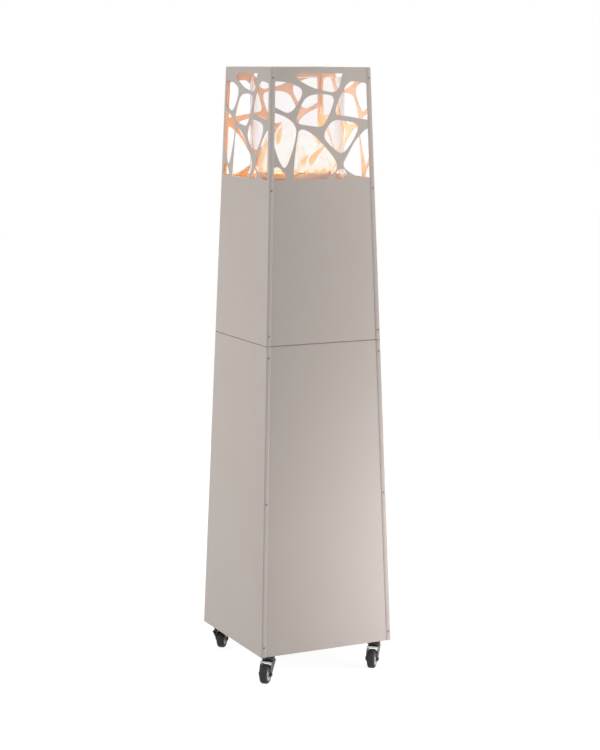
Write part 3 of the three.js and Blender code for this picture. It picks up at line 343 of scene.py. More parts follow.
# Metals, brushed along the direction in which the scale is smallest
metalLooks = {
    "innerSteel": {"dark": (132, 122, 114), "light": (158, 148, 138), "toneScale": 14.0, "contrast": 2.0,
                   "along": (40, 900, 900), "roughness": 0.5, "roughSpread": 0.2, "bump": 0.15,
                   "bumpDepth": 0.1 * mm, "metallic": 0.55},
    "zincPlate": {"dark": (176, 178, 182), "light": (205, 206, 208), "toneScale": 45.0, "contrast": 2.2,
                  "along": (500, 500, 60), "roughness": 0.28, "roughSpread": 0.2, "bump": 0.12,
                  "bumpDepth": 0.08 * mm, "metallic": 1.0},
    "forkSteel": {"dark": (44, 44, 46), "light": (66, 66, 68), "toneScale": 50.0, "contrast": 2.0,
                  "along": (400, 400, 60), "roughness": 0.38, "roughSpread": 0.2, "bump": 0.12,
                  "bumpDepth": 0.08 * mm, "metallic": 0.3},
    # Dark zinc for the axle bolts, and on the plates and races also a painted shade under the cabinet
    "darkZincAndShade": {"dark": (52, 51, 50), "light": (78, 76, 74), "toneScale": 45.0, "contrast": 2.0,
                 "along": (500, 500, 60), "roughness": 0.35, "roughSpread": 0.2, "bump": 0.12,
                 "bumpDepth": 0.08 * mm, "metallic": 0.8},
    "brassMetal": {"dark": (150, 118, 66), "light": (186, 152, 92), "toneScale": 50.0, "contrast": 2.0,
                   "along": (700, 700, 60), "roughness": 0.32, "roughSpread": 0.2, "bump": 0.12,
                   "bumpDepth": 0.08 * mm, "metallic": 1.0},
}

# The burner tray: steel painted peach all over, a painted warm glow of the flames, darker towards its foot
# and lighter up to a painted highlight along its rim, with heat colours in streaks round it
paintedGlowTrayLook = {"foot": (244, 216, 200), "rim": (255, 244, 230), "stain": (220, 182, 156), "footZ": 1.2665,
            "rimZ": 1.290, "stainScale": 26.0, "stainContrast": 2.6, "stainShare": 0.45,
            "along": (30, 30, 900), "roughness": 0.42, "roughSpread": 0.25, "bump": 0.12,
            "bumpDepth": 0.1 * mm, "metallic": 0.2}


def heightShare(tree, spot, low, high):
    parts = addNode(tree, "ShaderNodeSeparateXYZ", {0: spot})
    return spanShare(tree, parts.outputs["Z"], low, high)


def makeTrayMaterial(look):
    material, tree, shader, spot = newMaterial("trayMetal")
    # Foot to rim, darker to lighter: the lighter rim is a painted highlight, and the peach of both is a
    # painted flame glow
    rise = heightShare(tree, spot, look["footZ"], look["rimZ"])
    base = mixColors(tree, rise, linear(*look["foot"]), linear(*look["rim"]))
    tone = placeGroup(tree, toneGroup, spot, Scale=look["stainScale"], Contrast=look["stainContrast"])
    share = compute(tree, "MULTIPLY", tone.outputs["Mask"], look["stainShare"])
    stained = mixColors(tree, share, base, linear(*look["stain"]))
    dressShader(tree, shader, stained, placeBrush(tree, spot, look), look)
    return material


# Lava pebbles: each stone takes its own tone from a coarse cell pattern, with pores as a bump. The palest
# tones, near white, are partly painted highlights that stand in for sparkle on the stones.
stoneHighlightLook = {"dark": (128, 110, 100), "light": (255, 244, 230), "pore": (70, 64, 62), "cellScale": 90.0,
             "poreShare": 0.35, "grainScale": 420.0, "roughness": 0.85, "roughSpread": 0.1, "bump": 0.7,
             "bumpDepth": 1.0 * mm}


def makeStoneMaterial(look):
    material, tree, shader, spot = newMaterial("lavaStone")
    cells = addNode(tree, "ShaderNodeTexVoronoi", {"Vector": spot, "Scale": look["cellScale"]})
    shade = addNode(tree, "ShaderNodeSeparateColor", {0: cells.outputs["Color"]})
    # The light tone, near white, is partly a painted highlight on the stones
    base = mixColors(tree, shade.outputs[0], linear(*look["dark"]), linear(*look["light"]))
    pores = placeGrain(tree, spot, look)
    share = compute(tree, "MULTIPLY", pores.outputs["Height"], look["poreShare"])
    dressShader(tree, shader, mixColors(tree, share, base, linear(*look["pore"])), pores, look)
    return material


# Glass: a faint film of two tones. Where it is seen edge on it darkens to a pale pink, a painted shade that
# dims the bright background seen through the edge, and at its foot that turns to a painted warm glow of the
# flames.
glassLook = {"dark": (251, 248, 248), "light": (254, 253, 253), "toneScale": 24.0, "contrast": 1.5,
             "edge": (226, 205, 196), "shadedEdgeFrom": 0.35, "shadedEdgeTo": 0.9, "paintedGlow": (255, 200, 156),
             "paintedGlowFrom": 1.275, "paintedGlowTo": 1.31, "ior": 1.2, "grainScale": 600.0, "roughness": 0.01,
             "roughSpread": 0.02}


def makeGlassMaterial(look):
    material, tree, shader, spot = newMaterial("clearGlass")
    facing = addNode(tree, "ShaderNodeLayerWeight", {"Blend": 0.5}).outputs["Facing"]
    # The edge tint is painted shade where the glass is seen edge on, and a painted warm flame glow at its
    # foot
    edge = spanShare(tree, facing, look["shadedEdgeFrom"], look["shadedEdgeTo"])
    rise = heightShare(tree, spot, look["paintedGlowFrom"], look["paintedGlowTo"])
    rim = mixColors(tree, rise, linear(*look["paintedGlow"]), linear(*look["edge"]))
    feed(tree, shader, {"Base Color": mixColors(tree, edge, mixedTones(tree, spot, look), rim),
                        "Roughness": placeGrain(tree, spot, look).outputs["Roughness"],
                        "Transmission Weight": 1.0, "IOR": look["ior"]})
    return material


# Flames glow through a thin veil that fades at each form's edge and along its share, which is 0 at
# the foot and 1 at the tip. Colours run along the same share, and wisps shift them to another tone.
flameLooks = {
    "flameHaze": {"colors": ((253, 218, 176), (255, 242, 220), (255, 253, 247), (255, 254, 252)),
                  "stops": (0.0, 0.1, 0.28, 1.0), "fullness": 1.7, "most": 0.74, "footFade": 40.0,
                  "wispTone": (250, 212, 164), "wispShare": 0.6, "wispScale": 34.0, "wispEdge": 0.61,
                  "tipFade": 1.6},
    "flameTongue": {"colors": ((255, 236, 204), (255, 251, 242), (255, 253, 249), (255, 253, 248)),
                    "stops": (0.0, 0.25, 0.6, 1.0), "fullness": 1.5, "most": 0.72, "footFade": 10.0,
                    "wispTone": (252, 220, 176), "wispShare": 0.5, "wispScale": 46.0, "wispEdge": 0.6,
                    "tipFade": 3.0},
    "flameLick": {"colors": ((253, 218, 174), (253, 203, 150), (254, 210, 160), (255, 230, 196)),
                  "stops": (0.0, 0.35, 0.7, 1.0), "fullness": 3.2, "most": 0.8, "footFade": 4.0,
                  "wispTone": (255, 238, 208), "wispShare": 0.5, "wispScale": 90.0, "wispEdge": 0.6,
                  "tipFade": 2.0},
}


def makeFlameMaterial(name, look):
    # veil = fullness (1 - facing) (1 - share^tipFade) min(footFade share, 1), and never over the most
    material, tree, shader, spot = newMaterial(name)
    along = addNode(tree, "ShaderNodeAttribute", {}, attribute_name="share").outputs["Fac"]
    ramp = addNode(tree, "ShaderNodeValToRGB", {0: along})
    elements = ramp.color_ramp.elements
    while len(elements) < len(look["stops"]):
        elements.new(0.5)
    for element, stop, color in zip(elements, look["stops"], look["colors"]):
        element.position, element.color = stop, linear(*color)
    wisps = placeGroup(tree, wispGroup, spot, Scale=look["wispScale"], Edge=look["wispEdge"])
    amount = compute(tree, "MULTIPLY", wisps.outputs["Mask"], look["wispShare"])
    glow = mixColors(tree, amount, ramp.outputs[0], linear(*look["wispTone"]))
    facing = addNode(tree, "ShaderNodeLayerWeight", {"Blend": 0.5}).outputs["Facing"]
    tip = compute(tree, "SUBTRACT", 1.0, compute(tree, "POWER", along, look["tipFade"]))
    foot = compute(tree, "MINIMUM", compute(tree, "MULTIPLY", along, look["footFade"]), 1.0)
    veil = compute(tree, "MULTIPLY", compute(tree, "SUBTRACT", 1.0, facing), tip)
    veil = compute(tree, "MULTIPLY", compute(tree, "MULTIPLY", veil, foot), look["fullness"])
    veil = compute(tree, "MINIMUM", veil, look["most"])
    feed(tree, shader, {"Base Color": (0, 0, 0, 1), "Roughness": 1.0, "Specular IOR Level": 0.0,
                        "Emission Color": glow, "Emission Strength": 1.0, "Alpha": veil})
    return material


finishes = {name: coatMaterial(name, look) for name, look in coatLooks.items()}
finishes.update({name: metalMaterial(name, look) for name, look in metalLooks.items()})
finishes.update({name: makeFlameMaterial(name, look) for name, look in flameLooks.items()})
finishes["trayMetal"] = makeTrayMaterial(paintedGlowTrayLook)
finishes["lavaStone"] = makeStoneMaterial(stoneHighlightLook)
finishes["clearGlass"] = makeGlassMaterial(glassLook)
print("finishes made")


def gridFaces(rows, columns, closeRows=False, closeColumns=False):
    # Cells of a grid of points: each cell joins a point to the next one along both ways
    down = np.arange(rows if closeRows else rows - 1)
    along = np.arange(columns if closeColumns else columns - 1)
    a, b = np.meshgrid(down, along, indexing="ij")
    nextA, nextB = (a + 1) % rows, (b + 1) % columns
    corners = [a * columns + b, nextA * columns + b, nextA * columns + nextB, a * columns + nextB]
    return np.stack(corners, -1).reshape(-1, 4).tolist()


def cappedFaces(rows, columns):
    # Rings of points closed round, with one face over the first ring and one over the last
    last = (rows - 1) * columns
    caps = [list(range(columns)), [last + i for i in range(columns)][::-1]]
    return gridFaces(rows, columns, closeColumns=True) + caps


def carried(points, matrix):
    # Points turned and moved: turn p + shift
    turned = np.array(matrix)
    return points @ turned[:3, :3].T + turned[:3, 3]


def moved(shape, matrix):
    return carried(shape[0], matrix), shape[1]


def joined(*shapes):
    # Several (points, faces) shapes as one, each one's faces counted on from the last one's points
    points, faces, start = [], [], 0
    for shapePoints, shapeFaces in shapes:
        points.append(shapePoints)
        faces.extend([[start + i for i in face] for face in shapeFaces])
        start += len(shapePoints)
    return np.concatenate(points), faces


def makePiece(name, shape, finish, body, replaces=(), sharp=35, matrix=Matrix(), shares=None):
    # A shape carried to its place becomes a closed, smooth-shaded mesh that rides on a body. Edges
    # turned by more than the sharp angle, in degrees, stay crisp.
    points, faces = moved(shape, matrix)
    mesh = bpy.data.meshes.new(name)
    mesh.from_pydata(points.tolist(), [], faces)
    if shares is not None:
        mesh.attributes.new("share", "FLOAT", "POINT").data.foreach_set("value", shares.astype(np.float32))
    form = bmesh.new()
    form.from_mesh(mesh)
    bmesh.ops.remove_doubles(form, verts=form.verts, dist=weldGap)
    bmesh.ops.dissolve_degenerate(form, edges=form.edges, dist=weldGap)
    bmesh.ops.recalc_face_normals(form, faces=form.faces)
    form.to_mesh(mesh)
    form.free()
    mesh.polygons.foreach_set("use_smooth", np.ones(len(mesh.polygons), dtype=bool))
    mesh.set_sharp_from_angle(angle=math.radians(sharp))
    mesh.materials.append(finishes[finish])
    piece = addObject(name, mesh)
    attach(piece, body)
    if replaces:
        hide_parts(*replaces)
    return piece


def cornerCurve(start, corner, end, steps):
    # (1 - t)^2 start + 2t (1 - t) corner + t^2 end, for t from 0 to 1
    t = np.linspace(0, 1, steps + 1)[:, None]
    return (1 - t) ** 2 * start + 2 * t * (1 - t) * corner + t ** 2 * end


def softProfile(corners, radius, steps=4, closed=False):
    # Every inner corner becomes a curve from a point before it to one after it, both a radius away,
    # or less where the edge is short
    corners = np.asarray(corners, float)
    count = len(corners)
    parts = []
    for i in range(count):
        if not closed and i in (0, count - 1):
            parts.append(corners[i:i + 1])
            continue
        before, here, after = corners[i - 1], corners[i], corners[(i + 1) % count]
        lengthIn, lengthOut = np.linalg.norm(before - here), np.linalg.norm(after - here)
        reach = min(radius, lengthIn * edgeShare, lengthOut * edgeShare)
        start = here + (before - here) / lengthIn * reach
        end = here + (after - here) / lengthOut * reach
        parts.append(cornerCurve(start, here, end, steps))
    return np.concatenate(parts)


def roundOutline(x, y, radius, steps):
    # x + radius cos a, y + radius sin a
    angle = np.arange(steps) * fullTurn / steps
    return np.stack([x + radius * np.cos(angle), y + radius * np.sin(angle)], -1)


def turnedSurface(profile, sides, closed=False):
    # Each profile point (radius, height) is carried round Z: x = radius cos a, y = radius sin a
    angle = np.arange(sides) * fullTurn / sides
    radius, height = profile[:, 0][:, None], profile[:, 1][:, None]
    flat = np.ones(sides)[None, :]
    points = np.stack([radius * np.cos(angle), radius * np.sin(angle), height * flat], -1).reshape(-1, 3)
    return points, gridFaces(len(profile), sides, closeRows=closed, closeColumns=True)


def turnedProfile(rounding, steps, sides, corners, scale=1):
    # A profile that starts off the axis is closed on itself, as a ring's is
    closed = corners[0][0] > 0
    return turnedSurface(softProfile(corners, rounding, steps, closed) * scale, sides, closed)


def wavedSurface(profile, sides, waves, depths):
    # A turned surface whose radius swings round it: radius + depth cos(waves a)
    points, faces = turnedSurface(profile, sides)
    angle = np.tile(np.arange(sides) * fullTurn / sides, len(profile))
    swing = np.repeat(depths, sides) * np.cos(waves * angle)
    return points + np.stack([swing * np.cos(angle), swing * np.sin(angle), 0 * swing], -1), faces


def thickSheet(outer, inner, faces):
    # A sheet's outside and inside share their faces, the inside's turned round, and every open
    # edge is closed by a wall between the two
    count = len(outer)
    edges = {(a, b): True for face in faces for a, b in zip(face, face[1:] + face[:1])}
    walls = [[b, a, a + count, b + count] for a, b in edges if (b, a) not in edges]
    inside = [[i + count for i in reversed(face)] for face in faces]
    return np.concatenate([outer, inner]), faces + inside + walls


def slabShape(lowX, highX, lowY, highY, corner, lowZ, highZ, bevel):
    # A plate with round corners whose rim narrows by the bevel at both faces
    rings = []
    for inset, z in ((bevel, lowZ), (0, lowZ + bevel), (0, highZ - bevel), (bevel, highZ)):
        corners = [(lowX + inset, lowY + inset), (highX - inset, lowY + inset),
                   (highX - inset, highY - inset), (lowX + inset, highY - inset)]
        outline = softProfile(corners, corner, plateSteps, closed=True)
        rings.append(np.column_stack([outline, np.full(len(outline), z)]))
    return np.concatenate(rings), cappedFaces(4, len(rings[0]))


def faceMatrix(x, y, z, turns=0):
    # X across a leaning front face, Y up its slope, Z outwards. The turns are quarter turns about Z.
    outward = Vector((0, -math.cos(lean), math.sin(lean)))
    upward = Vector((0, math.sin(lean), math.cos(lean)))
    across = upward.cross(outward)
    basis = Matrix((across, upward, outward)).transposed().to_4x4()
    return Matrix.Rotation(turns * quarterTurn, 4, "Z") @ Matrix.Translation((x, y, z)) @ basis


def rearMatrix(x, faceY, z):
    # X to the right as seen from behind, Y up the rear face, Z outwards
    return faceMatrix(-x, -faceY, z, 2)


# The web of the upper panels. Each corner of a cell is (across share, up share, rounding share),
# seen from outside. Across runs from -1 to 1 between the side rims, up from 0 to 1 over the window,
# and the rounding is the share of each adjoining edge that the corner's curve takes.
web = {"low": 1204 * mm, "topRim": 15.5 * mm, "sideRim": 13 * mm, "cornerSteps": 10, "bendSteps": 6}
cellShares = [
    [[-0.5, 1, 0], [-0.56, 0.955, 0.45], [-0.22, 0.87, 0.45], [0, 0.845, 0.4], [0.36, 0.81, 0.48],
     [0.475, 1, 0]],
    [[-1, 0.928, 0], [-0.72, 0.92, 0.45], [-0.34, 0.845, 0.45], [-0.66, 0.61, 0.4], [-1, 0.685, 0]],
    [[-0.57, 0.53, 0.5], [-0.48, 0.665, 0.4], [-0.33, 0.795, 0.5], [0.05, 0.808, 0.4],
     [0.31, 0.785, 0.5], [0.2, 0.64, 0.35], [0.03, 0.49, 0.4], [-0.25, 0.508, 0.4]],
    [[1, 0.905, 0], [0.8, 0.925, 0.45], [0.6, 0.925, 0.45], [0.41, 0.79, 0.4], [0.255, 0.61, 0.5],
     [0.5, 0.6, 0.35], [1, 0.558, 0]],
    [[0.01, 0.41, 0.45], [0.22, 0.56, 0.45], [0.49, 0.555, 0.4], [0.84, 0.515, 0.5], [0.66, 0.35, 0.4],
     [0.43, 0.22, 0.5], [0.19, 0.31, 0.35]],
    [[-1, 0.635, 0], [-0.72, 0.585, 0.45], [-0.51, 0.495, 0.5], [-0.59, 0.31, 0.35], [-0.76, 0.08, 0.5],
     [-0.9, 0.18, 0.4], [-1, 0.315, 0]],
    [[-0.485, 0.5, 0.5], [-0.17, 0.425, 0.4], [0.19, 0.245, 0.35], [0.37, 0.105, 0.5], [0.1, 0, 0],
     [-0.595, 0, 0], [-0.59, 0.12, 0.4], [-0.54, 0.34, 0.35]],
    [[-1, 0.117, 0], [-0.9, 0.13, 0.5], [-0.77, 0.055, 0.4], [-0.72, 0, 0], [-1, 0, 0]],
    [[0.25, 0, 0], [0.32, 0.085, 0.45], [0.475, 0.1, 0.45], [0.545, 0, 0]],
    [[1, 0.475, 0], [0.91, 0.455, 0.4], [0.71, 0.36, 0.4], [0.51, 0.2, 0.4], [0.42, 0.12, 0.5],
     [0.6, 0.05, 0.45], [0.8, 0, 0], [1, 0, 0]],
]


def cellOutline(cell):
    # Shares become places on the face, and each rounded corner a curve between its two edges
    shares = np.array(cell)
    low = cabinet["skirtZ"] + web["low"]
    z = low + shares[:, 1] * (topZ - web["topRim"] - low)
    places = np.stack([shares[:, 0] * (halfAt(z) - web["sideRim"]), z], -1)
    parts = []
    for i, rounding in enumerate(shares[:, 2]):
        here, after = places[i], places[(i + 1) % len(places)]
        if rounding == 0:
            parts.append([here])
            continue
        start = here + (places[i - 1] - here) * rounding
        end = here + (after - here) * rounding
        parts.append(cornerCurve(start, here, end, web["cornerSteps"]))
    return np.concatenate(parts)


def faceOutline(lowZ, highZ, inset):
    # The trapezoid of a face between two heights, inset from the cabinet's corners
    low, high = halfAt(lowZ) - inset, halfAt(highZ) - inset
    return np.array([[-low, lowZ], [low, lowZ], [high, highZ], [-high, highZ]])


def fillOutlines(outer, holes):
    # Triangles over a flat outline with holes, all turned the same way round, slivers left out
    loops = [outer] + holes
    flat = np.concatenate(loops)
    lists = [[Vector((x, y, 0)) for x, y in loop] for loop in loops]
    triangles = np.array(tessellate_polygon(lists))
    a, b, c = (flat[triangles[:, k]] for k in range(3))
    area = (b[:, 0] - a[:, 0]) * (c[:, 1] - a[:, 1]) - (b[:, 1] - a[:, 1]) * (c[:, 0] - a[:, 0])
    triangles[area < 0] = triangles[area < 0][:, ::-1]
    return flat, triangles[np.abs(area) > leastArea].tolist()


def flangeColumn(z, side, radius, wall, angles):
    # From the face round the bend to the flange's edge, at one height: on the bend,
    # x = centre + radius sin a and y = -centre - radius cos a
    half = halfAt(z)
    centre = half - (cabinet["innerBend"] + cabinet["sheet"])
    edge = cabinet["flange"] - half
    x = np.append(centre + radius * np.sin(angles), [half - wall, half - max(wall, cabinet["bevelDrop"])])
    y = np.append(-centre - radius * np.cos(angles), [edge - cabinet["flangeBevel"], edge])
    return np.stack([side * x, y, np.full(len(x), z)], -1)


def channelShape(lowZ, highZ, holes):
    # A flat face with holes, and on each side a bend and a flange that thins towards its edge
    innerBend, sheet = cabinet["innerBend"], cabinet["sheet"]
    flat, faces = fillOutlines(faceOutline(lowZ, highZ, innerBend + sheet), holes)
    face = halfAt(flat[:, 1])
    outer = [np.stack([flat[:, 0], -face, flat[:, 1]], -1)]
    inner = [np.stack([flat[:, 0], sheet - face, flat[:, 1]], -1)]
    angles = np.linspace(0, quarterTurn, web["bendSteps"] + 1)[1:]
    steps = len(angles) + 2
    start = len(flat)
    for side in (-1, 1):
        for skin, radius, wall in ((outer, innerBend + sheet, 0.0), (inner, innerBend, sheet)):
            skin.extend(flangeColumn(z, side, radius, wall, angles) for z in (lowZ, highZ))
        bottom = [0 if side < 0 else 1] + [start + k for k in range(steps)]
        top = [3 if side < 0 else 2] + [start + steps + k for k in range(steps)]
        for k in range(steps):
            strip = [bottom[k], bottom[k + 1], top[k + 1], top[k]]
            faces.append(strip if side > 0 else strip[::-1])
        start += 2 * steps
    return thickSheet(np.concatenate(outer), np.concatenate(inner), faces)


def flatShape(lowZ, highZ, holes):
    # A trapezoid behind the neighbours' flanges, cut by the holes
    sheet = cabinet["sheet"]
    flat, faces = fillOutlines(faceOutline(lowZ, highZ, sheet + cabinet["edgeGap"]), holes)
    face = halfAt(flat[:, 1]) - sheet - cabinet["clearance"]
    outer = np.stack([flat[:, 0], -face, flat[:, 1]], -1)
    return thickSheet(outer, outer + np.array([0, sheet, 0]), faces)


# Where the controls come through the rear panel: places across, seen from behind, and radii
rearHoles = {"height": 1062 * mm, "spindle": (0.0, 6 * mm), "igniter": (-55 * mm, 10.8 * mm), "steps": 40}


def makePanel(name, shape, turns=0):
    # A panel made at the front, and turned by quarter turns to its own side
    makePiece(f"{name}_sheet", shape, "taupeCoat", "cabinet", [name], sharp=30,
              matrix=Matrix.Rotation(turns * quarterTurn, 4, "Z"))


def makeUpperPanels():
    lowZ = seamZ + cabinet["seamGap"] / 2
    cells = [cellOutline(cell) for cell in cellShares]
    channel = channelShape(lowZ, topZ, cells)
    makePanel("upper_left_panel", channel, -1)
    makePanel("upper_right_panel", channel, 1)
    makePanel("upper_front_panel", flatShape(lowZ, topZ, cells))
    height = cabinet["skirtZ"] + rearHoles["height"]
    ports = [roundOutline(x, height, radius, rearHoles["steps"])
             for x, radius in (rearHoles["spindle"], rearHoles["igniter"])]
    makePanel("upper_rear_panel", flatShape(lowZ, topZ, cells + ports), 2)


def makeLowerPanels():
    lowZ, highZ = cabinet["skirtZ"], seamZ - cabinet["seamGap"] / 2
    channel = channelShape(lowZ, highZ, [])
    makePanel("lower_left_panel", channel, -1)
    makePanel("lower_right_panel", channel, 1)
    makePanel("lower_front_panel", flatShape(lowZ, highZ, []))


makeUpperPanels()
print("upper panels made")
makeLowerPanels()
print("lower panels made")

# Here and further down, a turn is the rounding of a profile's corners, the steps round each corner
# and the sides round the axis. A turned profile adds its corners, (radius, height).
# The rear door, with the pull in millimetres over the door's face
door = {
    "low": 76 * mm, "high": 863 * mm, "sideGap": 14 * mm, "depth": 10 * mm, "corner": 3 * mm,
    "bendSteps": 6, "pullInset": 30 * mm, "pullZ": 554 * mm,
    "pull": (0.8, 3, 48, ((0, 0.3), (7, 0.3), (7, 1.6), (5, 2.6), (5, 4.6), (6.6, 5.6), (10.6, 6.2),
                          (12, 8), (12, 11), (10.4, 12.9), (6, 13.3), (0, 13.3))),
}


def doorReach(z):
    return halfAt(z) - door["sideGap"]


def doorRing(inset, depth):
    # A round-cornered outline that follows the taper, sunk below the rear face by a depth
    z = np.array([door["low"] + inset, door["high"] - inset])
    reach = doorReach(z) - inset
    corners = [(-reach[0], z[0]), (reach[0], z[0]), (reach[1], z[1]), (-reach[1], z[1])]
    outline = softProfile(corners, door["corner"], plateSteps, closed=True)
    return np.stack([outline[:, 0], halfAt(outline[:, 1]) - depth, outline[:, 1]], -1)


def doorShape():
    # A pan of folded sheet: a rim, a round bend and the face, then the same a sheet's thickness in.
    # Along the bend, inset = wall + radius (1 - cos a) and depth = wall + radius (1 - sin a).
    angle = np.linspace(0, quarterTurn, door["bendSteps"] + 1)
    innerBend, sheet = cabinet["innerBend"], cabinet["sheet"]
    skins = []
    for radius, wall in ((innerBend + sheet, 0), (innerBend, sheet)):
        insets = np.append(wall, wall + radius * (1 - np.cos(angle)))
        depths = np.append(door["depth"], wall + radius * (1 - np.sin(angle)))
        skins.append(np.concatenate([doorRing(i, d) for i, d in zip(insets, depths)]))
    rings = len(angle) + 1
    count = len(skins[0]) // rings
    faces = gridFaces(rings, count, closeColumns=True)
    faces.append([(rings - 1) * count + i for i in range(count)][::-1])
    return thickSheet(*skins, faces)


def makeDoor():
    makePiece("rear_door_pan", doorShape(), "taupeCoat", "door", ["rear_door"], sharp=30)
    z = door["pullZ"]
    pull = turnedProfile(*door["pull"], scale=mm)
    makePiece("door_pull_knob", pull, "blackMoulding", "door", ["door_pull"], sharp=50,
              matrix=rearMatrix(door["pullInset"] - doorReach(z), halfAt(z), z))


# The lift-off hinges, in millimetres apart from their heights
hinge = {
    "levels": {"lower": 344 * mm, "upper": 724 * mm}, "reach": 25, "sheet": 1.5, "knuckle": 3, "pin": 1.5,
    "gap": 0.3, "notch": 3.6, "frameLeaf": 10, "doorLeaf": 26, "leafCorner": 1.2, "leafBevel": 0.2,
    "pinShort": 1.5, "pinDome": 0.4, "rollTurn": (0.4, 2, 28), "pinTurn": (0.4, 2, 20), "sideGap": 1,
    "screwHeights": (-17, 0, 17),
    "screw": (0.2, 2, 20, ((0, 0.1), (0.9, 0.5), (1.9, 0.4), (2.5, -0.2), (2.5, -0.6), (0, -0.6))),
}


def leafShape(side, width, lowZ, highZ):
    # The long plate, the short plate that runs to the knuckle, and the screw heads
    reach, gap, sheet, notch = (hinge[k] for k in ("reach", "gap", "sheet", "notch"))
    flat = Matrix.Rotation(-quarterTurn, 4, "X")
    shapes = []
    for near, far, low, high in ((notch, width, -reach, reach), (0, notch + sheet, lowZ, highZ)):
        ends = sorted((side * near, side * far))
        plate = slabShape(*ends, -high, -low, hinge["leafCorner"], gap, gap + sheet, hinge["leafBevel"])
        shapes.append(moved(plate, flat))
    screw = turnedProfile(*hinge["screw"])
    for height in hinge["screwHeights"]:
        spot = (side * (notch + width) / 2, gap + sheet, height)
        shapes.append(moved(screw, Matrix.Translation(spot) @ flat))
    return shapes


def pinShapes():
    # The frame leaf's closed roll, the door leaf's bored roll over it, and the pin
    reach, knuckle, pin, gap = (hinge[k] for k in ("reach", "knuckle", "pin", "gap"))
    low, high, bore, pinLow, pinHigh = -gap / 2, gap / 2, pin + gap, -reach / 2, reach - hinge["pinShort"]
    frameRoll = (0, -reach), (knuckle, -reach), (knuckle, low), (0, low)
    doorRoll = (bore, high), (knuckle, high), (knuckle, reach), (bore, reach)
    rod = (0, pinLow), (pin, pinLow), (pin, pinHigh), (0, pinHigh + hinge["pinDome"])
    pairs = (hinge["rollTurn"], frameRoll), (hinge["rollTurn"], doorRoll), (hinge["pinTurn"], rod)
    onPin = Matrix.Translation((0, gap + knuckle, 0))
    return [moved(turnedProfile(*turn, corners), onPin) for turn, corners in pairs]


def makeHinges():
    reach, gap = hinge["reach"], hinge["gap"]
    lowRoll, highRoll, pinRod = pinShapes()
    fixed = joined(*leafShape(1, hinge["frameLeaf"], -reach, -gap / 2), lowRoll, pinRod)
    swinging = joined(*leafShape(-1, hinge["doorLeaf"], gap / 2, reach), highRoll)
    upEdge = Vector((-taper, -taper, 1)).normalized()
    outward = Vector((0, math.cos(lean), math.sin(lean)))
    basis = Matrix((outward.cross(upEdge), outward, upEdge)).transposed().to_4x4()
    for level, z in hinge["levels"].items():
        half = halfAt(z)
        spot = (half - cabinet["flange"] - hinge["sideGap"] * mm, half, z)
        place = Matrix.Translation(spot) @ basis @ Matrix.Scale(mm, 4)
        makePiece(f"hinge_leaf_{level}_plate", fixed, "zincPlate", "cabinet",
                  [f"hinge_leaf_{level}"], matrix=place)
        makePiece(f"door_leaf_{level}_plate", swinging, "zincPlate", "door",
                  [f"door_leaf_{level}"], matrix=place)


# The controls on the rear face, in millimetres over the rear sheet. The flutes fade in upwards and
# outwards, each from a first value over a second. A thread is its low and high end, radius, depth,
# pitch and steps. The pointer and its mark are slabs: low and high x, low and high y, corner, low and
# high z, bevel. The knob and the barrel's two ends are corners, rounding and steps.
controls = {
    "height": 1136 * mm, "igniterAcross": -55 * mm, "knobSides": 180, "knobFlutes": 30, "fluteDepth": 0.55,
    "fluteUp": (8.8, 1.5), "fluteOut": (14, 2),
    "knob": (((0, 17), (4.3, 17), (4.3, 5), (19.6, 5), (20, 5.6), (20, 7.4), (18.2, 8.6), (17.6, 10),
              (17.2, 15), (16.6, 21), (15.4, 22.6), (13, 23), (11.5, 22.3), (0, 22.3)), 0.7, 3),
    "spindle": (0.5, 2, 32, ((0, -28), (4, -28), (4, 16.7), (0, 16.7))),
    "barrelFoot": (((0, -50), (2, -50), (2, -44), (9.8, -44), (10.2, -42.4)), 0.6, 3),
    "barrelHead": (((10.5, -0.6), (10.5, 0.3), (14, 0.3), (14, 1.6), (12.4, 2.8), (8.6, 2.8), (7.3, 2.2),
                    (7.3, -19.2), (0, -19.2)), 0.5, 4),
    "thread": (-42, -2, 10.25, 0.25, 1.5, 161), "barrelSides": 56,
    "button": (1.1, 4, 48, ((0, -13.9), (7, -13.9), (7, 7.4), (5.4, 8.8), (0, 8.8))),
    "pointer": (-2, 2, -2, 18, 1.9, 20, 24.6, 0.6), "mark": (-0.5, 0.5, 5, 17, 0.45, 24.5, 24.8, 0.1),
}


def threadProfile(low, high, radius, depth, pitch, steps):
    # Rings that stand for a thread: radius + depth cos(height / pitch, in full turns)
    height = np.linspace(low, high, steps)
    return np.stack([radius + depth * np.cos(fullTurn * height / pitch), height], -1)


def fadeIn(values, start, width):
    # (value - start) / width, kept between 0 and 1
    return np.clip((values - start) / width, 0, 1)


def makeKnob(place):
    body = softProfile(*controls["knob"])
    radius, height = body.T
    share = fadeIn(height, *controls["fluteUp"]) * fadeIn(radius, *controls["fluteOut"])
    grip = wavedSurface(body, controls["knobSides"], controls["knobFlutes"], controls["fluteDepth"] * share)
    pointer = slabShape(*controls["pointer"])
    makePiece("control_knob_grip", joined(grip, pointer), "blackMoulding", "knob",
              ["control_knob"], matrix=place, sharp=40)
    mark = slabShape(*controls["mark"])
    makePiece("control_knob_mark", mark, "ceramicGlaze", "knob", matrix=place)
    makePiece("valve_spindle_rod", turnedProfile(*controls["spindle"]), "zincPlate", "knob",
              ["valve_spindle"], matrix=place)


def makeIgniter(place):
    line = np.concatenate([softProfile(*controls["barrelFoot"]), threadProfile(*controls["thread"]),
                           softProfile(*controls["barrelHead"])])
    barrel = turnedSurface(line, controls["barrelSides"])
    makePiece("igniter_body_barrel", barrel, "blackMoulding", "cabinet", ["igniter_body"],
              matrix=place, sharp=50)
    makePiece("igniter_button_cap", turnedProfile(*controls["button"]), "zincPlate", "igniter_push",
              ["igniter_button"], matrix=place, sharp=50)


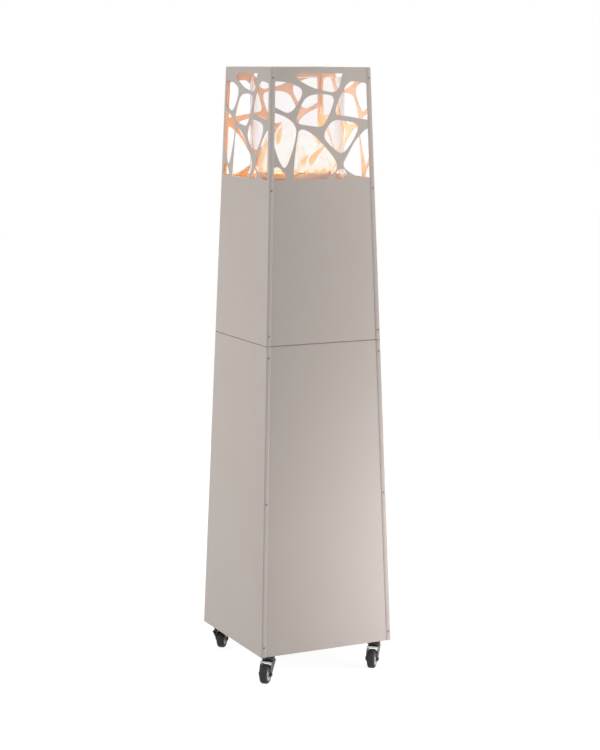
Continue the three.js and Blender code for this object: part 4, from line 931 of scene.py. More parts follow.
def makeControls():
    z = controls["height"]
    place = rearMatrix(0, halfAt(z) - cabinet["sheet"] - cabinet["clearance"], z) @ Matrix.Scale(mm, 4)
    makeKnob(place)
    makeIgniter(place @ Matrix.Translation((controls["igniterAcross"] / mm, 0, 0)))


makeDoor()
makeHinges()
makeControls()
print("door and controls made")

# The screws at the front and rear edges. Their heights are in millimetres over the skirt, and the
# dome's two corners are shares of the radius and of the rise.
screws = {"edge": 6.5 * mm, "radius": 2.7 * mm, "rise": 1.1 * mm, "socket": 1.4 * mm,
          "socketDepth": 0.7 * mm, "dome": ((0.7, 0.93), (1, 0.3)), "turn": (0.25 * mm, 2, 20),
          "heights": (25, 394, 763, 818, 1178, 1454)}


def makeScrews():
    r, h, s = screws["radius"], screws["rise"], screws["socket"]
    low = h - screws["socketDepth"]
    dome = [(r * across, h * up) for across, up in screws["dome"]]
    screw = turnedProfile(*screws["turn"], [(0, low), (s, low), (s, h), *dome, (r, 0), (0, 0)])
    for name, turns in (("front_screws", 0), ("rear_screws", 2)):
        heads = []
        for height in screws["heights"]:
            z = cabinet["skirtZ"] + height * mm
            for side in (-1, 1):
                x = side * (halfAt(z) - screws["edge"])
                heads.append(moved(screw, faceMatrix(x, -halfAt(z), z, turns)))
        makePiece(name, joined(*heads), "screwCoat", "cabinet", sharp=40)


makeScrews()
print("screws made")

# The casters, with their turns in millimetres. The fork's strip runs up one leg, over the crown and
# down the other, with its steps round the leg's end, up the leg and round the bend. The axle's head
# and nut are (radius, height over the fork's side). The chamfer of the tyre's foot is its height and
# width, and the lip's arch and rounding, for the zinc band that is a painted highlight on the fork, are
# each a depth and the power of the share that it follows.
caster = {
    "inset": 33.3 * mm, "trail": 19.8 * mm, "wheelRadius": 25 * mm, "wheelWidth": 20 * mm,
    "treadWidth": 9 * mm, "treadRound": 6.2 * mm, "hubRadius": 16.5 * mm, "tyreGap": 0.1 * mm,
    "forkInner": 12.8 * mm, "forkSheet": 2.5 * mm, "crownTop": 57.4 * mm, "crownFront": 16.6 * mm,
    "crownRear": 18 * mm, "legEnd": 8 * mm, "legBend": 5 * mm, "legStart": 0.12, "legGap": 2 * mm,
    "forkSteps": (9, 6, 8), "acrossSteps": 9, "lip": 5.2 * mm, "lipArch": (9 * mm, 8),
    "lipRounding": (1.6 * mm, 10), "lipTop": 0.6 * mm, "lipSide": 0.1 * mm, "lipFront": 0.6 * mm,
    "lipSunk": 0.6, "lipDepth": 1.4 * mm, "lipSteps": 33, "raceTop": 73.2 * mm, "plateTop": 75.7 * mm,
    "plateHalf": 23 * mm, "plateCorner": 5 * mm, "boltInset": 5.5 * mm, "axleGap": 0.25 * mm,
    "tyreSteps": 9, "tyreSides": 96, "footChamfer": (0.6 * mm, 0.8 * mm), "hubTurn": (0.5, 3, 64),
    "axleTurn": (0.35, 3, 6), "axleHead": ((0, 2.4), (3.6, 2.2), (4.5, 1.2), (4.5, 0), (3, 0)),
    "axleNut": ((3, 0), (4.5, 0), (4.5, 2.4), (0, 2.4)),
    "hubSide": ((16.5, 9.5), (14.4, 9.5), (13.2, 8.1), (8.4, 8.4), (7.2, 9.6), (6.2, 12.2), (3.2, 12.2)),
    "race": (1.2, 4, 56, ((0, 74.2), (19, 74.2), (19.4, 68.2), (17.4, 66.7), (18.4, 65.2), (16, 58.2),
                          (5, 57.7), (5, 54.4), (8, 54.2), (7.4, 52.2), (0, 52))),
    "plateBolt": (0.6, 2, 6, ((0, 73.7), (4.2, 73.7), (4.2, 70.6), (0, 70))),
}
casterTurns = {"front_left": -44, "front_right": -40, "rear_left": 140, "rear_right": 136}
casterSides = {"front_left": (-1, -1), "front_right": (1, -1), "rear_left": (-1, 1), "rear_right": (1, 1)}


def tyreShape():
    # A half round of tread between two shoulders, closed on itself inside and turned round the axle:
    # radius = outer - round + round cos a, across = half tread + (half width - half tread) sin a
    half, tread, rounding = caster["wheelWidth"] / 2, caster["treadWidth"] / 2, caster["treadRound"]
    angle = np.linspace(0, quarterTurn, caster["tyreSteps"])
    radius = caster["wheelRadius"] - rounding + rounding * np.cos(angle)
    right = np.stack([radius, tread + (half - tread) * np.sin(angle)], -1)
    left = right[::-1] * [1, -1]
    inner = caster["hubRadius"] + caster["tyreGap"]
    tall, wide = caster["footChamfer"]
    foot = np.array([[inner + tall, half], [inner, half - wide], [inner, wide - half], [inner + tall, -half]])
    return turnedSurface(np.concatenate([left, right, foot]), caster["tyreSides"], closed=True)


def hubShape():
    # A dished disc with a raised rim and a boss, the same on both sides
    side = caster["hubSide"]
    return turnedProfile(*caster["hubTurn"], [(r, -y) for r, y in side[::-1]] + list(side), scale=mm)


def forkLine():
    # The strip's middle line with its inward directions: up a leg, then round into the crown,
    # x = outer - bend + bend cos a and z = top - bend + bend sin a, and the same mirrored. It starts
    # a little off the leg's lowest point, where the strip would have no width.
    outer, bend, top = caster["forkInner"] + caster["forkSheet"], caster["legBend"], caster["crownTop"]
    axleZ = caster["wheelRadius"]
    endSteps, legSteps, bendSteps = caster["forkSteps"]
    endAngle = np.linspace(caster["legStart"], quarterTurn, endSteps)
    legZ = np.concatenate([axleZ - caster["legEnd"] * np.cos(endAngle),
                           np.linspace(axleZ + caster["legGap"], top - bend, legSteps)])
    arc = np.linspace(0, quarterTurn, bendSteps)[1:]
    pathX = np.concatenate([np.full(len(legZ), outer), outer - bend + bend * np.cos(arc)])
    pathZ = np.concatenate([legZ, top - bend + bend * np.sin(arc)])
    inwardX = np.concatenate([np.full(len(legZ), 1.0), np.cos(arc)])
    inwardZ = np.concatenate([np.zeros(len(legZ)), np.sin(arc)])
    mirrored = ((pathX, -1), (pathZ, 1), (inwardX, -1), (inwardZ, 1))
    return [np.concatenate([half, sign * half[::-1]]) for half, sign in mirrored]


def forkShape():
    # Across the strip, a point lies between the front edge and the rear edge at that height. Both
    # run from the leg's round end, sqrt(end^2 - drop^2) either side of the axle, to the crown's ends.
    trail, end, axleZ = caster["trail"], caster["legEnd"], caster["wheelRadius"]
    pathX, pathZ, inwardX, inwardZ = forkLine()
    climb = np.clip((pathZ - axleZ) / (caster["crownTop"] - caster["legBend"] - axleZ), 0, 1)
    endHalf = np.sqrt(np.maximum(end ** 2 - np.minimum(pathZ - axleZ, 0) ** 2, 0))
    front = -trail - endHalf + climb * (trail + end - caster["crownFront"])
    rear = -trail + endHalf + climb * (trail - end + caster["crownRear"])
    steps = caster["acrossSteps"]
    y = front[:, None] + (rear - front)[:, None] * np.linspace(0, 1, steps)[None, :]
    flat = np.ones_like(y)
    skins = []
    for depth in (0, caster["forkSheet"]):
        x, z = pathX - inwardX * depth, pathZ - inwardZ * depth
        skins.append(np.stack([x[:, None] * flat, y, z[:, None] * flat], -1).reshape(-1, 3))
    return thickSheet(*skins, gridFaces(len(pathX), steps))


def highlightBandShape():
    # A band of bright zinc across the crown's front, a painted highlight where the dark fork's crown bends
    # down.
    # Its lower edge arches over the tyre and runs down the legs, low = top - lip - drop share^power, and its
    # upper edge rounds off, high = top - gap - rounding share^power, where the share of the half width runs
    # from -1 to 1
    top, depth = caster["crownTop"], caster["lipDepth"]
    half = caster["forkInner"] + caster["forkSheet"] + caster["lipSide"]
    across = np.linspace(-1, 1, caster["lipSteps"])
    drop, dropPower = caster["lipArch"]
    rounding, roundPower = caster["lipRounding"]
    low = top - caster["lip"] - drop * across ** dropPower
    high = top - caster["lipTop"] - rounding * across ** roundPower
    # Each corner of the band's section is (share towards the front, share of the height)
    section = np.array([[0, 1], [0.4, 1], [1, 0.94], [1, 0.06], [0.4, 0], [0, 0]])
    x = np.repeat(across * half, len(section))
    front = -caster["crownFront"] - caster["lipFront"]
    y = np.tile(front + depth * (caster["lipSunk"] - section[:, 0]), len(across))
    z = (low[:, None] + (high - low)[:, None] * section[None, :, 1]).ravel()
    return np.stack([x, y, z], -1), cappedFaces(len(across), len(section))


def plateShape():
    # A square plate with round corners, the ball race below it and four bolt heads in its corners
    half, corner = caster["plateHalf"], caster["plateCorner"]
    angle = np.linspace(0, quarterTurn, 6)
    quarter = np.stack([half - corner + corner * np.cos(angle), half - corner + corner * np.sin(angle)], -1)
    turns = [np.array([[math.cos(a), -math.sin(a)], [math.sin(a), math.cos(a)]])
             for a in np.arange(4) * quarterTurn]
    outline = np.concatenate([quarter @ turn.T for turn in turns])
    levels = (caster["raceTop"], caster["plateTop"])
    rim = np.concatenate([np.column_stack([outline, np.full(len(outline), z)]) for z in levels])
    race, bolt = (turnedProfile(*caster[k], scale=mm) for k in ("race", "plateBolt"))
    spread = half - caster["boltInset"]
    bolts = [moved(bolt, Matrix.Translation((x * spread, y * spread, 0))) for x in (-1, 1) for y in (-1, 1)]
    return joined((rim, cappedFaces(2, len(outline))), race, *bolts)


def axleShape():
    # A six-sided bolt: a domed head, the shank through the wheel and a nut
    outer = (caster["forkInner"] + caster["forkSheet"] + caster["axleGap"]) / mm
    head = [(radius, -outer - height) for radius, height in caster["axleHead"]]
    nut = [(radius, outer + height) for radius, height in caster["axleNut"]]
    return turnedProfile(*caster["axleTurn"], head + nut, scale=mm)


def makeCasters():
    tyre, hub, fork, lip, plate, axle = (shape() for shape in (tyreShape, hubShape, forkShape, highlightBandShape,
                                                               plateShape, axleShape))
    reach = cabinet["baseWidth"] / 2 - caster["inset"]
    for corner, angle in casterTurns.items():
        sideX, sideY = casterSides[corner]
        forkBody, wheelBody = f"{corner}_fork", f"{corner}_wheel"
        place = Matrix.Translation((sideX * reach, sideY * reach, 0))
        swivel = place @ Matrix.Rotation(math.radians(angle), 4, "Z")
        hubSpot = Matrix.Translation((0, -caster["trail"], caster["wheelRadius"]))
        wheel = swivel @ hubSpot @ Matrix.Rotation(quarterTurn, 4, "Y")
        makePiece(f"{corner}_tyre_round", tyre, "tyreRubber", wheelBody, [f"{corner}_tyre"],
                  matrix=wheel)
        makePiece(f"{corner}_hub_disc", hub, "hubMoulding", wheelBody, [f"{corner}_hub"],
                  matrix=wheel)
        makePiece(f"{corner}_fork_steel", fork, "forkSteel", forkBody, [forkBody], matrix=swivel,
                  sharp=40)
        # The zinc band on the dark fork is a painted highlight along the crown's bend
        makePiece(f"{corner}_fork_highlight_band", lip, "zincPlate", forkBody, matrix=swivel, sharp=40)
        makePiece(f"{corner}_axle_bolt", axle, "darkZincAndShade", forkBody, [f"{corner}_axle"],
                  matrix=wheel, sharp=40)
        # The plate and race's dark zinc is partly painted shade under the cabinet
        makePiece(f"{corner}_plate_race", plate, "darkZincAndShade", "cabinet", [f"{corner}_plate"],
                  matrix=place, sharp=40)


makeCasters()
print("casters made")

# The burner bay: glass, its collar and the tray that holds the stones
bay = {
    "glassRadius": 120.03 * mm, "glassWall": 4 * mm, "glassLow": 1267.8 * mm, "glassHigh": 1528.8 * mm,
    "glassTurn": (1.2 * mm, 6, 180), "trayRadius": 110.03 * mm, "trayInner": 14.5 * mm,
    "trayLow": 1266.3 * mm, "trayHigh": 1289.3 * mm, "traySheet": 1.2 * mm, "trayLip": 2 * mm,
    "lipUnder": 2.6 * mm, "lipEdge": 2.2 * mm, "trayTurn": (0.9 * mm, 4, 144),
    "collar": (0.5, 3, 180, ((111.2, 1266.3), (121.5, 1266.3), (121.5, 1275.3), (120.3, 1275.3),
                             (120.3, 1267.5), (111.2, 1267.5))),
}


def makeCollar():
    # The collar's peach coat is a painted warm glow of the flames
    makePiece("glass_collar_ring", turnedProfile(*bay["collar"], scale=mm), "deckGlowCoat", "cabinet",
              ["glass_collar"])


def makeGlass():
    outer, inner = bay["glassRadius"], bay["glassRadius"] - bay["glassWall"]
    low, high = bay["glassLow"], bay["glassHigh"]
    corners = [(inner, low), (outer, low), (outer, high), (inner, high)]
    tube = turnedProfile(*bay["glassTurn"], corners)
    glass = makePiece("glass_tube", tube, "clearGlass", "cabinet", ["glass_cylinder"], sharp=60)
    glass.visible_shadow = False


def makeTray():
    outer, inner = bay["trayRadius"], bay["trayRadius"] - bay["traySheet"]
    low, high, sheet = bay["trayLow"], bay["trayHigh"], bay["traySheet"]
    lip, bore = outer + bay["trayLip"], bay["trayInner"]
    corners = [(bore, low), (outer, low), (outer, high - bay["lipUnder"]), (lip, high - bay["lipEdge"]),
               (lip, high), (inner, high), (inner, low + sheet), (bore, low + sheet)]
    makePiece("burner_tray_pan", turnedProfile(*bay["trayTurn"], corners), "trayMetal", "cabinet",
              ["burner_tray"])


# Each layer of stones: how many, from which to which radius, their height over the tray's floor,
# the least and the greatest size, in millimetres, and how finely each is cut. A stone's half width
# is its size times the shrink, and its depth and height are shares of that.
stones = {
    "seed": 7, "shrink": 0.8, "deep": (0.7, 0.95), "high": (0.6, 0.8), "spread": 0.25, "tilt": 0.5,
    "waves": 4, "waveLength": 1.6, "dent": 0.07,
    "layers": ((44, 82, 98, 5, 7.2, 9.4, 2), (52, 82, 98, 11, 7.2, 9.4, 2), (52, 84, 97, 17, 6.5, 8.6, 3),
               (120, 84, 104, 22.8, 2.4, 4.4, 2), (130, 98, 105.5, 22, 2.0, 3.6, 2)),
}


def ballShape(fineness):
    ball = bmesh.new()
    bmesh.ops.create_icosphere(ball, subdivisions=fineness, radius=1.0)
    shape = np.array([v.co[:] for v in ball.verts]), [[v.index for v in f.verts] for f in ball.faces]
    ball.free()
    return shape


def makeStones():
    # A pebble is a ball squeezed along three axes and dented by a few slow waves:
    # point (1 + dent * the sum of sin(wave . point + phase)) size
    rng = np.random.default_rng(stones["seed"])
    floor = bay["trayLow"] + bay["traySheet"]
    tilt = stones["tilt"]
    pebbles = []
    for count, near, far, level, least, most, fineness in stones["layers"]:
        points, faces = ballShape(fineness)
        spread = stones["spread"]
        angles = (np.arange(count) + rng.uniform(-spread, spread, count)) * fullTurn / count
        for angle in angles:
            waves = rng.normal(size=(stones["waves"], 3)) * stones["waveLength"]
            phases = rng.uniform(0, fullTurn, stones["waves"])
            dents = 1 + stones["dent"] * np.sin(points @ waves.T + phases).sum(1)
            size = rng.uniform(least, most) * mm * np.array(
                [1, rng.uniform(*stones["deep"]), rng.uniform(*stones["high"])])
            turn = Matrix.Rotation(rng.uniform(0, fullTurn), 4, "Z")
            turn = turn @ Matrix.Rotation(rng.uniform(-tilt, tilt), 4, "X")
            radius = rng.uniform(near, far) * mm
            height = floor + (level + rng.uniform(-1, 1)) * mm
            spot = Matrix.Translation((radius * math.cos(angle), radius * math.sin(angle), height))
            pebbles.append(moved((points * dents[:, None] * size * stones["shrink"], faces), spot @ turn))
    makePiece("stone_bed_pebbles", joined(*pebbles), "lavaStone", "cabinet", ["stone_bed"], sharp=80)


# The burner, with its turned profiles in millimetres
burner = {
    "high": 1281.8 * mm, "ports": 12, "portCircle": 45 * mm,
    "box": (1.6, 4, 96, ((0, 1281.8), (37, 1281.8), (56, 1281), (60, 1277.8), (60, 1267.8), (14, 1267.8),
                         (14, 1185.8), (12, 1185.8), (12, 1263.8), (0, 1263.8))),
    "eyelet": (0.4, 3, 16, ((1.5, 1280.8), (2.9, 1280.8), (2.9, 1282.3), (1.5, 1282.3))),
}


def makeBurnerHead():
    # The burner's round box on its neck, with a raised eyelet round each port
    box, eyelet = (turnedProfile(*burner[k], scale=mm) for k in ("box", "eyelet"))
    spots = roundOutline(0, 0, burner["portCircle"], burner["ports"])
    eyelets = [moved(eyelet, Matrix.Translation((x, y, 0))) for x, y in spots]
    makePiece("burner_head_steel", joined(box, *eyelets), "innerSteel", "cabinet",
              ["burner_head"])


# A dome of haze, pale tongues in it, and orange licks at its front. Each tongue or lick is its
# place across and away as the camera sees it, its foot above the burner, height, half width and
# lean across, all in millimetres.
flames = {
    "seed": 11, "sway": 5, "domeRadius": 97, "domeHeight": 122, "domeDepth": 0.86, "lobes": 5,
    "lobeDepth": 0.10, "lobeTwist": 4, "domeFoot": 1, "domeOpening": 40, "domeRows": 40,
    "domeColumns": 72, "rows": 30, "columns": 24, "tongueDepth": 0.8, "lickDepth": 0.5,
    "swellPower": 0.7, "ripple": (0.16, 7), "leanPower": 1.3, "swayMost": 0.8, "swayWaves": (5, 4),
    "tongues": ((-30, -6, 0, 172, 34, 6), (26, -12, 2, 98, 28, 8), (-64, 12, 2, 110, 24, -4),
                (62, 16, 2, 84, 22, 6), (2, 42, 2, 100, 26, 2), (-4, -48, 2, 76, 24, 6)),
    "licks": ((-48, -60, 78, 52, 7, 6), (16, -86, 28, 30, 6.5, 8), (34, -84, 26, 62, 9, 36),
              (56, -40, 78, 102, 11, 8), (68, -80, 3, 20, 8, 2), (2, -60, 40, 64, 7, -4),
              (-94, -10, 12, 60, 10, 16), (-82, -4, 26, 72, 9, 8), (-6, -96, 3, 17, 10, 2),
              (26, -94, 3, 15, 9, -2), (48, -84, 3, 16, 9, 3), (86, -50, 3, 15, 8, 2),
              (-70, -64, 3, 17, 10, 2), (-92, -34, 3, 22, 9, 4), (-34, -90, 3, 16, 10, 2)),
}


def shareAndAngle(rows, columns):
    return np.linspace(0, 1, rows)[:, None], np.arange(columns)[None, :] * fullTurn / columns


def flameGrid(x, y, z, share):
    # A closed grid of points with each one's share of the way from the foot to the tip
    rows, columns = x.shape
    points = np.stack([x, y, z + 0 * x], -1).reshape(-1, 3)
    return points, gridFaces(rows, columns, closeColumns=True), np.repeat(share[:, 0], columns)


def tongueShape(entry, depth, phases):
    # A drop: radius = width sin(pi share^swellPower) (1 + depth sin(ripple share + a)), and a middle
    # line that leans by lean share^leanPower and sways by reach sin(wave share) share
    across, away, foot, tall, wide, leaning = (value * mm for value in entry)
    share, angle = shareAndAngle(flames["rows"], flames["columns"])
    rippleDepth, ripple = flames["ripple"]
    waveX, waveY = flames["swayWaves"]
    swell = np.sin(math.pi * share ** flames["swellPower"])
    swell = swell * (1 + rippleDepth * np.sin(ripple * share + angle + phases[0]))
    reach = min(flames["sway"] * mm, wide * flames["swayMost"])
    x = across + wide * swell * np.cos(angle) + leaning * share ** flames["leanPower"]
    x = x + reach * np.sin(waveX * share + phases[1]) * share
    y = away + wide * depth * swell * np.sin(angle) + reach * np.sin(waveY * share + phases[2]) * share
    return flameGrid(x, y, burner["high"] + foot + tall * share, share)


def domeShape():
    # Radius follows a quarter ellipse, sqrt(1 - share^2), with lobes that grow upwards, times
    # opening share at the foot, until that is 1
    share, angle = shareAndAngle(flames["domeRows"], flames["domeColumns"])
    lobes = flames["lobeDepth"] * share * np.sin(flames["lobes"] * angle + flames["lobeTwist"] * share)
    opening = np.minimum(1, share * flames["domeOpening"])
    radius = flames["domeRadius"] * mm * np.sqrt(1 - share ** 2) * (1 + lobes) * opening
    z = burner["high"] + flames["domeFoot"] * mm + flames["domeHeight"] * mm * share
    return flameGrid(radius * np.cos(angle), radius * flames["domeDepth"] * np.sin(angle), z, share)


def makeFlames():
    rng = np.random.default_rng(flames["seed"])
    facing = Matrix.Rotation(math.radians(-view["azimuth"]), 4, "Z")
    drops = []
    for kind, depth in (("tongues", flames["tongueDepth"]), ("licks", flames["lickDepth"])):
        drops.append([tongueShape(entry, depth, rng.uniform(0, fullTurn, 3)) for entry in flames[kind]])
    for name, shapes, finish in (("flame_haze", [domeShape()], "flameHaze"),
                                 ("flame_tongues", drops[0], "flameTongue"),
                                 ("flame_licks", drops[1], "flameLick")):
        shares = np.concatenate([shape[2] for shape in shapes])
        piece = makePiece(name, joined(*(shape[:2] for shape in shapes)), finish, "cabinet", sharp=180,
                          matrix=facing, shares=shares)
        piece.visible_shadow = piece.visible_diffuse = False


# The gas bottle and what it carries, in millimetres over the bottle's foot. Nut, cups, stub, spout
# and screws are turned round an axis of their own, and their heights run along it. The neck and the
# handwheel are corners, rounding and steps.
bottle = {
    "foot": 78.3, "radius": 157.2, "shellLow": 14, "bottomDome": 60, "domeLow": 410, "neckRadius": 20,
    "neckLow": 504, "domeSteps": 16, "sideSteps": 90, "beadRise": 1.1, "beadWidth": 4, "sides": 128,
    "neck": (((20, 504), (20, 520), (9, 520), (9, 503), (0, 503)), 1, 3), "outletZ": 544.3,
    "outletSides": 48, "regulatorX": 75.3, "stubDrop": 7,
    "ring": (0.9, 3, 128, ((130.8, 0), (135.2, 0), (135.2, 44.5), (132.2, 44.5), (132.2, 3), (130.8, 2.6))),
    "hexagon": (0.4, 2, 6, ((0, 520.3), (12.6, 520.3), (13, 521), (13, 530), (12.4, 530.6), (0, 530.6))),
    "waist": (1, 3, 48, ((0, 504), (8.6, 504), (8.6, 521), (11, 529), (11, 534), (12.4, 538), (12.4, 551),
                         (10.6, 555), (10.6, 557), (12.6, 558), (12.6, 565.6), (11, 566.3), (5, 566.3),
                         (5, 580.3), (0, 580.3))),
    "spout": ((0, 0), (9, 0), (9, 10)), "thread": (11, 30.5, 9.7, 0.3, 1.8, 118),
    "mouth": ((9.2, 32), (6, 32), (6, 28), (0, 28)),
    "handwheel": (((5.4, 567), (9, 566.6), (11, 568.2), (19, 568.6), (23, 567), (25, 567), (26, 569),
                   (26, 576), (25, 578), (22.5, 578.3), (19, 576), (11, 576), (9.5, 578.6),
                   (5.4, 578.6)), 0.9, 3),
    "waves": 6, "waveDepth": 2, "waveOut": (12, 12), "wheelSides": 144,
    "nut": (0.5, 2, 6, ((0, 32.3), (12.8, 32.3), (14, 33.6), (14, 46.8), (12.6, 48.2), (9, 48.2), (9, 75.3),
                        (0, 75.3))),
    "cups": (1.2, 4, 64, ((0, -16), (19, -16), (23, -12), (23, -3), (27, -2.4), (27, 0.4), (21.5, 1),
                          (19.5, 4.5), (13, 8.4), (9, 9), (9, 13.6), (7.8, 14.8), (0, 14.8))),
    "stub": (0.7, 2, 32, ((0, 0), (7, 0), (7, 26), (5.8, 28), (5.8, 30), (6.8, 32), (5.8, 34), (5.8, 36),
                          (6.8, 38), (5.8, 40), (5.8, 43), (5, 45), (0, 45))),
    "screw": (0.4, 2, 12, ((0, 0), (2, 0), (2, 1.9), (1.2, 2.5), (0, 2.5))), "screwCircle": 24.2,
    "screwCount": 6,
}


def quarterArc(fromR, fromZ, toR, toZ, flatStart):
    # A quarter of an ellipse, through shares sin a and 1 - cos a. It starts flat or upright.
    a = np.linspace(0, quarterTurn, bottle["domeSteps"] + 1)
    early, late = (np.sin(a), 1 - np.cos(a)) if flatStart else (1 - np.cos(a), np.sin(a))
    return np.stack([fromR + (toR - fromR) * early, fromZ + (toZ - fromZ) * late], -1)


def bottleShape():
    # The weld round the middle is a bump: rise exp(-(distance / width)^2)
    radius, low, domeLow = bottle["radius"], bottle["shellLow"], bottle["domeLow"]
    sideLow = low + bottle["bottomDome"]
    sideZ = np.linspace(sideLow, domeLow, bottle["sideSteps"])[1:-1]
    bump = bottle["beadRise"] * np.exp(-((sideZ - sideZ.mean()) / bottle["beadWidth"]) ** 2)
    shell = np.concatenate([
        quarterArc(0, low, radius, sideLow, True), np.stack([radius + bump, sideZ], -1),
        quarterArc(radius, domeLow, bottle["neckRadius"], bottle["neckLow"], False)[:-1],
        softProfile(*bottle["neck"])])
    return joined(turnedSurface(shell, bottle["sides"]), turnedProfile(*bottle["ring"]))


def makeBottle(place):
    makePiece("gas_bottle_shell", bottleShape(), "bottleCoat", "cabinet", ["gas_bottle"],
              matrix=place, sharp=40)


def makeValve(place, along):
    hexagon, waist = turnedProfile(*bottle["hexagon"]), turnedProfile(*bottle["waist"])
    line = np.concatenate([bottle["spout"], threadProfile(*bottle["thread"]), bottle["mouth"]])
    outlet = moved(turnedSurface(line, bottle["outletSides"]), along)
    makePiece("bottle_valve_body", joined(hexagon, waist, outlet), "brassMetal", "cabinet",
              ["bottle_valve"], matrix=place, sharp=40)


def makeHandwheel(place):
    # The grip's waves fade in outwards. The profile ends where it starts.
    rim = softProfile(*bottle["handwheel"])
    profile = np.concatenate([rim, rim[:1]])
    depths = bottle["waveDepth"] * fadeIn(profile[:, 0], *bottle["waveOut"])
    wheel = wavedSurface(profile, bottle["wheelSides"], bottle["waves"], depths)
    makePiece("bottle_handwheel_rim", wheel, "blackMoulding", "handwheel",
              ["bottle_handwheel"], matrix=place, sharp=50)


def makeRegulator(place, along):
    # A hexagon nut on the outlet, two cups with a ring of screws, and a ribbed stub for the hose
    nut, cups, stub, screw = (turnedProfile(*bottle[k]) for k in ("nut", "cups", "stub", "screw"))
    x, z = bottle["regulatorX"], bottle["outletZ"]
    middle = Matrix.Translation((x, 0, z))
    back = Matrix.Translation((x, 0, z - bottle["stubDrop"])) @ Matrix.Rotation(-quarterTurn, 4, "X")
    shapes = [moved(nut, along), moved(cups, middle), moved(stub, back)]
    for angle in (np.arange(bottle["screwCount"]) + 0.5) * fullTurn / bottle["screwCount"]:
        spot = Vector((math.cos(angle), math.sin(angle), 0)) * bottle["screwCircle"]
        shapes.append(moved(moved(screw, Matrix.Translation(spot)), middle))
    makePiece("regulator_body", joined(*shapes), "zincPlate", "cabinet", ["regulator"], matrix=place,
              sharp=40)


def makeBottleGroup():
    place = Matrix.Scale(mm, 4) @ Matrix.Translation((0, 0, bottle["foot"]))
    along = Matrix.Translation((0, 0, bottle["outletZ"])) @ Matrix.Rotation(quarterTurn, 4, "Y")
    makeBottle(place)
    makeValve(place, along)
    makeHandwheel(place)
    makeRegulator(place, along)


# The hose, in millimetres. Its route is given as shares of the way from the regulator's stub to the
# gas valve, and its last stretch runs straight down from the valve. The valve's end is so far below
# the knob's axis, down the rear face, and so far in from that face.
hose = {
    "radius": 6, "sides": 28, "steps": 14, "start": (75.3, 45.3, 615.6), "lead": 12, "valveDrop": 33.3,
    "valveDepth": 34,
    "shares": ((0, 0, 0), (0, 0.19, 0), (0, 0.58, 0.016), (0.013, 0.83, 0.08), (0.08, 0.83, 0.185),
               (0.24, 0.72, 0.33), (0.48, 0.61, 0.485), (0.745, 0.61, 0.66), (0.985, 0.75, 0.825)),
}


def curvedPath(points, steps):
    # A centripetal Catmull-Rom curve. Each gap g is the square root of the distance, and the slope
    # at a point is (p1-p0)/g0 - (p2-p0)/(g0+g1) + (p2-p1)/g1.
    p = np.vstack([2 * points[0] - points[1], points, 2 * points[-1] - points[-2]])
    g = np.sqrt(np.linalg.norm(np.diff(p, axis=0), axis=1))[:, None]
    p0, p1, p2, p3 = p[:-3], p[1:-2], p[2:-1], p[3:]
    g0, g1, g2 = g[:-2], g[1:-1], g[2:]
    out = ((p1 - p0) / g0 - (p2 - p0) / (g0 + g1) + (p2 - p1) / g1) * g1
    into = ((p2 - p1) / g1 - (p3 - p1) / (g1 + g2) + (p3 - p2) / g2) * g1
    t = (np.arange(steps) / steps)[None, :, None]
    p1, p2, out, into = (v[:, None, :] for v in (p1, p2, out, into))
    curve = ((2 * t ** 3 - 3 * t ** 2 + 1) * p1 + (t ** 3 - 2 * t ** 2 + t) * out
             + (3 * t ** 2 - 2 * t ** 3) * p2 + (t ** 3 - t ** 2) * into)
    return np.vstack([curve.reshape(-1, 3), points[-1]])


def tubeSurface(path, radius, sides, aside):
    # Rings square to the path, each started from the same sideways direction, with a cap at both
    # ends: path + radius (first cos a + second sin a)
    along = np.gradient(path, axis=0)
    along /= np.linalg.norm(along, axis=1)[:, None]
    first = np.cross(along, aside)
    first /= np.linalg.norm(first, axis=1)[:, None]
    second = np.cross(along, first)
    a = np.arange(sides) * fullTurn / sides
    ring = np.cos(a)[None, :, None] * first[:, None, :] + np.sin(a)[None, :, None] * second[:, None, :]
    return (path[:, None, :] + radius * ring).reshape(-1, 3), cappedFaces(len(path), sides)


def makeHose():
    z = controls["height"]
    faceY = halfAt(z) - cabinet["sheet"] - cabinet["clearance"]
    end = Vector((0, faceY / mm, z / mm))
    end += Vector((0, math.sin(lean), -math.cos(lean))) * hose["valveDrop"]
    end = np.array(end - Vector((0, math.cos(lean), math.sin(lean))) * hose["valveDepth"])
    start = np.array(hose["start"])
    route = start + np.array(hose["shares"]) * (end - start)
    last = end - np.array([[0, 0, 4], [0, 0, 2], [0, 0, 0]]) * hose["lead"]
    path = curvedPath(np.vstack([route, last]), hose["steps"])
    makePiece("gas_hose_rubber", tubeSurface(path, hose["radius"], hose["sides"], (1, 0, 0)), "hoseRubber",
              "cabinet", ["gas_hose"], matrix=Matrix.Scale(mm, 4), sharp=50)


makeCollar()
makeBottleGroup()
makeHose()
print("bottle and hose made")
makeGlass()
makeTray()
makeStones()
makeBurnerHead()
makeFlames()
print("burner bay made")

# The CAD nodes that stay as they are, by finish
keptFinishes = {
    "innerSteel": ("base_frame", "mid_frame", "heat_shield"),
    # The deck's peach coat is a painted warm glow of the flames
    "deckGlowCoat": ("burner_deck",),
    "brassMetal": ("gas_valve", "valve_plug", "gas_jet", "supply_pipe", "thermocouple"),
    "blackMoulding": ("door_magnet", "tilt_switch"),
    "hoseRubber": ("igniter_lead",),
    "ceramicGlaze": ("igniter_electrode",),
}
for finish, names in keptFinishes.items():
    for name in names:
        mesh = nodes[name].data
        mesh.materials.clear()
        mesh.materials.append(finishes[finish])
print("kept nodes painted")

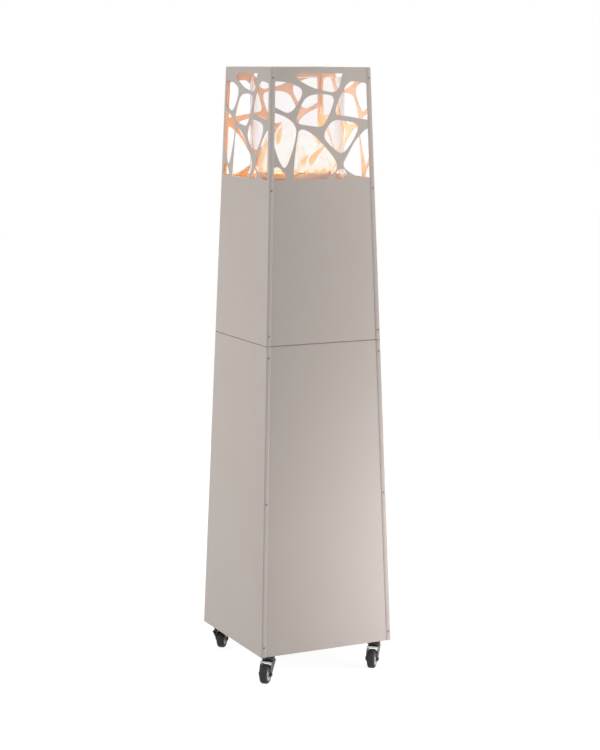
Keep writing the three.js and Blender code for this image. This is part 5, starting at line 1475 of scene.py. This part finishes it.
# Floor, world and lights, in metres and watts. A lamp is its name, spot, aim, size and power, and a
# glow its name, spot, colour and power. The glows are balls of light in the ring of flames, orange to
# the left and paler to the right, with one more higher up.
studio = {
    "floorSize": 24.0, "floorTone": 0.3, "floorGlow": 0.886, "worldFill": 0.38,
    "lamps": (
        ("keyRight", (0.7, -0.6, 0.87), (0, -0.15, 0.87), (0.4, 1.6), 5.3),
        ("lowRight", (0.6, -0.75, 0.25), (0.1, -0.15, 0.1), (0.8, 0.4), 4.2),
        ("fillLeft", (-2.6, 0.35, 0.9), (0, 0.1, 0.5), (2.0, 2.1), 41),
        ("topFront", (0.1, -0.6, 1.55), (0, -0.14, 1.45), (0.3, 0.2), 0.6),
        ("fillRear", (0.9, 2.7, 1.0), (0, 0.1, 0.75), (2.0, 2.0), 18),
    ),
    "glowRadius": 0.03,
    "glows": (
        ("flameRearLeft", (-0.09, 0.045, 1.296), (1.0, 0.33, 0.01), 2.4),
        ("flameRearRight", (0.065, 0.065, 1.302), (1.0, 0.6, 0.28), 1.5),
        ("flameFrontRight", (0.065, -0.065, 1.302), (1.0, 0.7, 0.55), 0.66),
        ("flameFrontLeft", (-0.065, -0.065, 1.302), (1.0, 0.33, 0.01), 1.0),
        ("flameHigh", (0.05, 0.03, 1.42), (1.0, 0.38, 0.1), 0.3),
    ),
}


def backgroundRays(tree):
    # 1 where the camera, a mirror or a glass looks straight at the background
    rays = addNode(tree, "ShaderNodeLightPath", {}).outputs
    seen = compute(tree, "MAXIMUM", rays["Is Camera Ray"], rays["Is Glossy Ray"])
    return compute(tree, "MAXIMUM", seen, rays["Is Transmission Ray"])


def makeFloor():
    half = studio["floorSize"] / 2
    corners = [(-half, -half, 0), (half, -half, 0), (half, half, 0), (-half, half, 0)]
    mesh = bpy.data.meshes.new("floor")
    mesh.from_pydata(corners, [], [(0, 1, 2, 3)])
    material, tree, shader = newMaterial("paleFloor")[:3]
    glow = compute(tree, "MULTIPLY", backgroundRays(tree), studio["floorGlow"])
    feed(tree, shader, {"Base Color": (studio["floorTone"],) * 3 + (1,), "Roughness": 1.0,
                        "Specular IOR Level": 0.0, "Emission Color": (1, 1, 1, 1),
                        "Emission Strength": glow})
    mesh.materials.append(material)
    addObject("floor", mesh)


def makeWorld():
    scene.world = bpy.data.worlds.new("studio")
    scene.world.use_nodes = True
    tree = scene.world.node_tree
    background = tree.nodes["Background"]
    extra = compute(tree, "MULTIPLY", backgroundRays(tree), 1 - studio["worldFill"])
    feed(tree, background, {"Color": (1, 1, 1, 1),
                            "Strength": compute(tree, "ADD", extra, studio["worldFill"])})


def addLight(name, data, power):
    data.energy = power
    light = addObject(name, data)
    light.visible_camera = light.visible_glossy = light.visible_transmission = False
    return light


def makeLights():
    for name, spot, aim, size, power in studio["lamps"]:
        data = bpy.data.lights.new(name, "AREA")
        data.shape = "RECTANGLE"
        data.size, data.size_y = size
        turn = (Vector(aim) - Vector(spot)).to_track_quat("-Z", "Y").to_matrix().to_4x4()
        addLight(name, data, power).matrix_world = Matrix.Translation(spot) @ turn
    for name, spot, color, power in studio["glows"]:
        data = bpy.data.lights.new(name, "POINT")
        data.color = color
        data.shadow_soft_size = studio["glowRadius"]
        addLight(name, data, power).location = spot


makeFloor()
makeWorld()
makeLights()
scene.view_settings.view_transform = "Standard"
print("studio made")
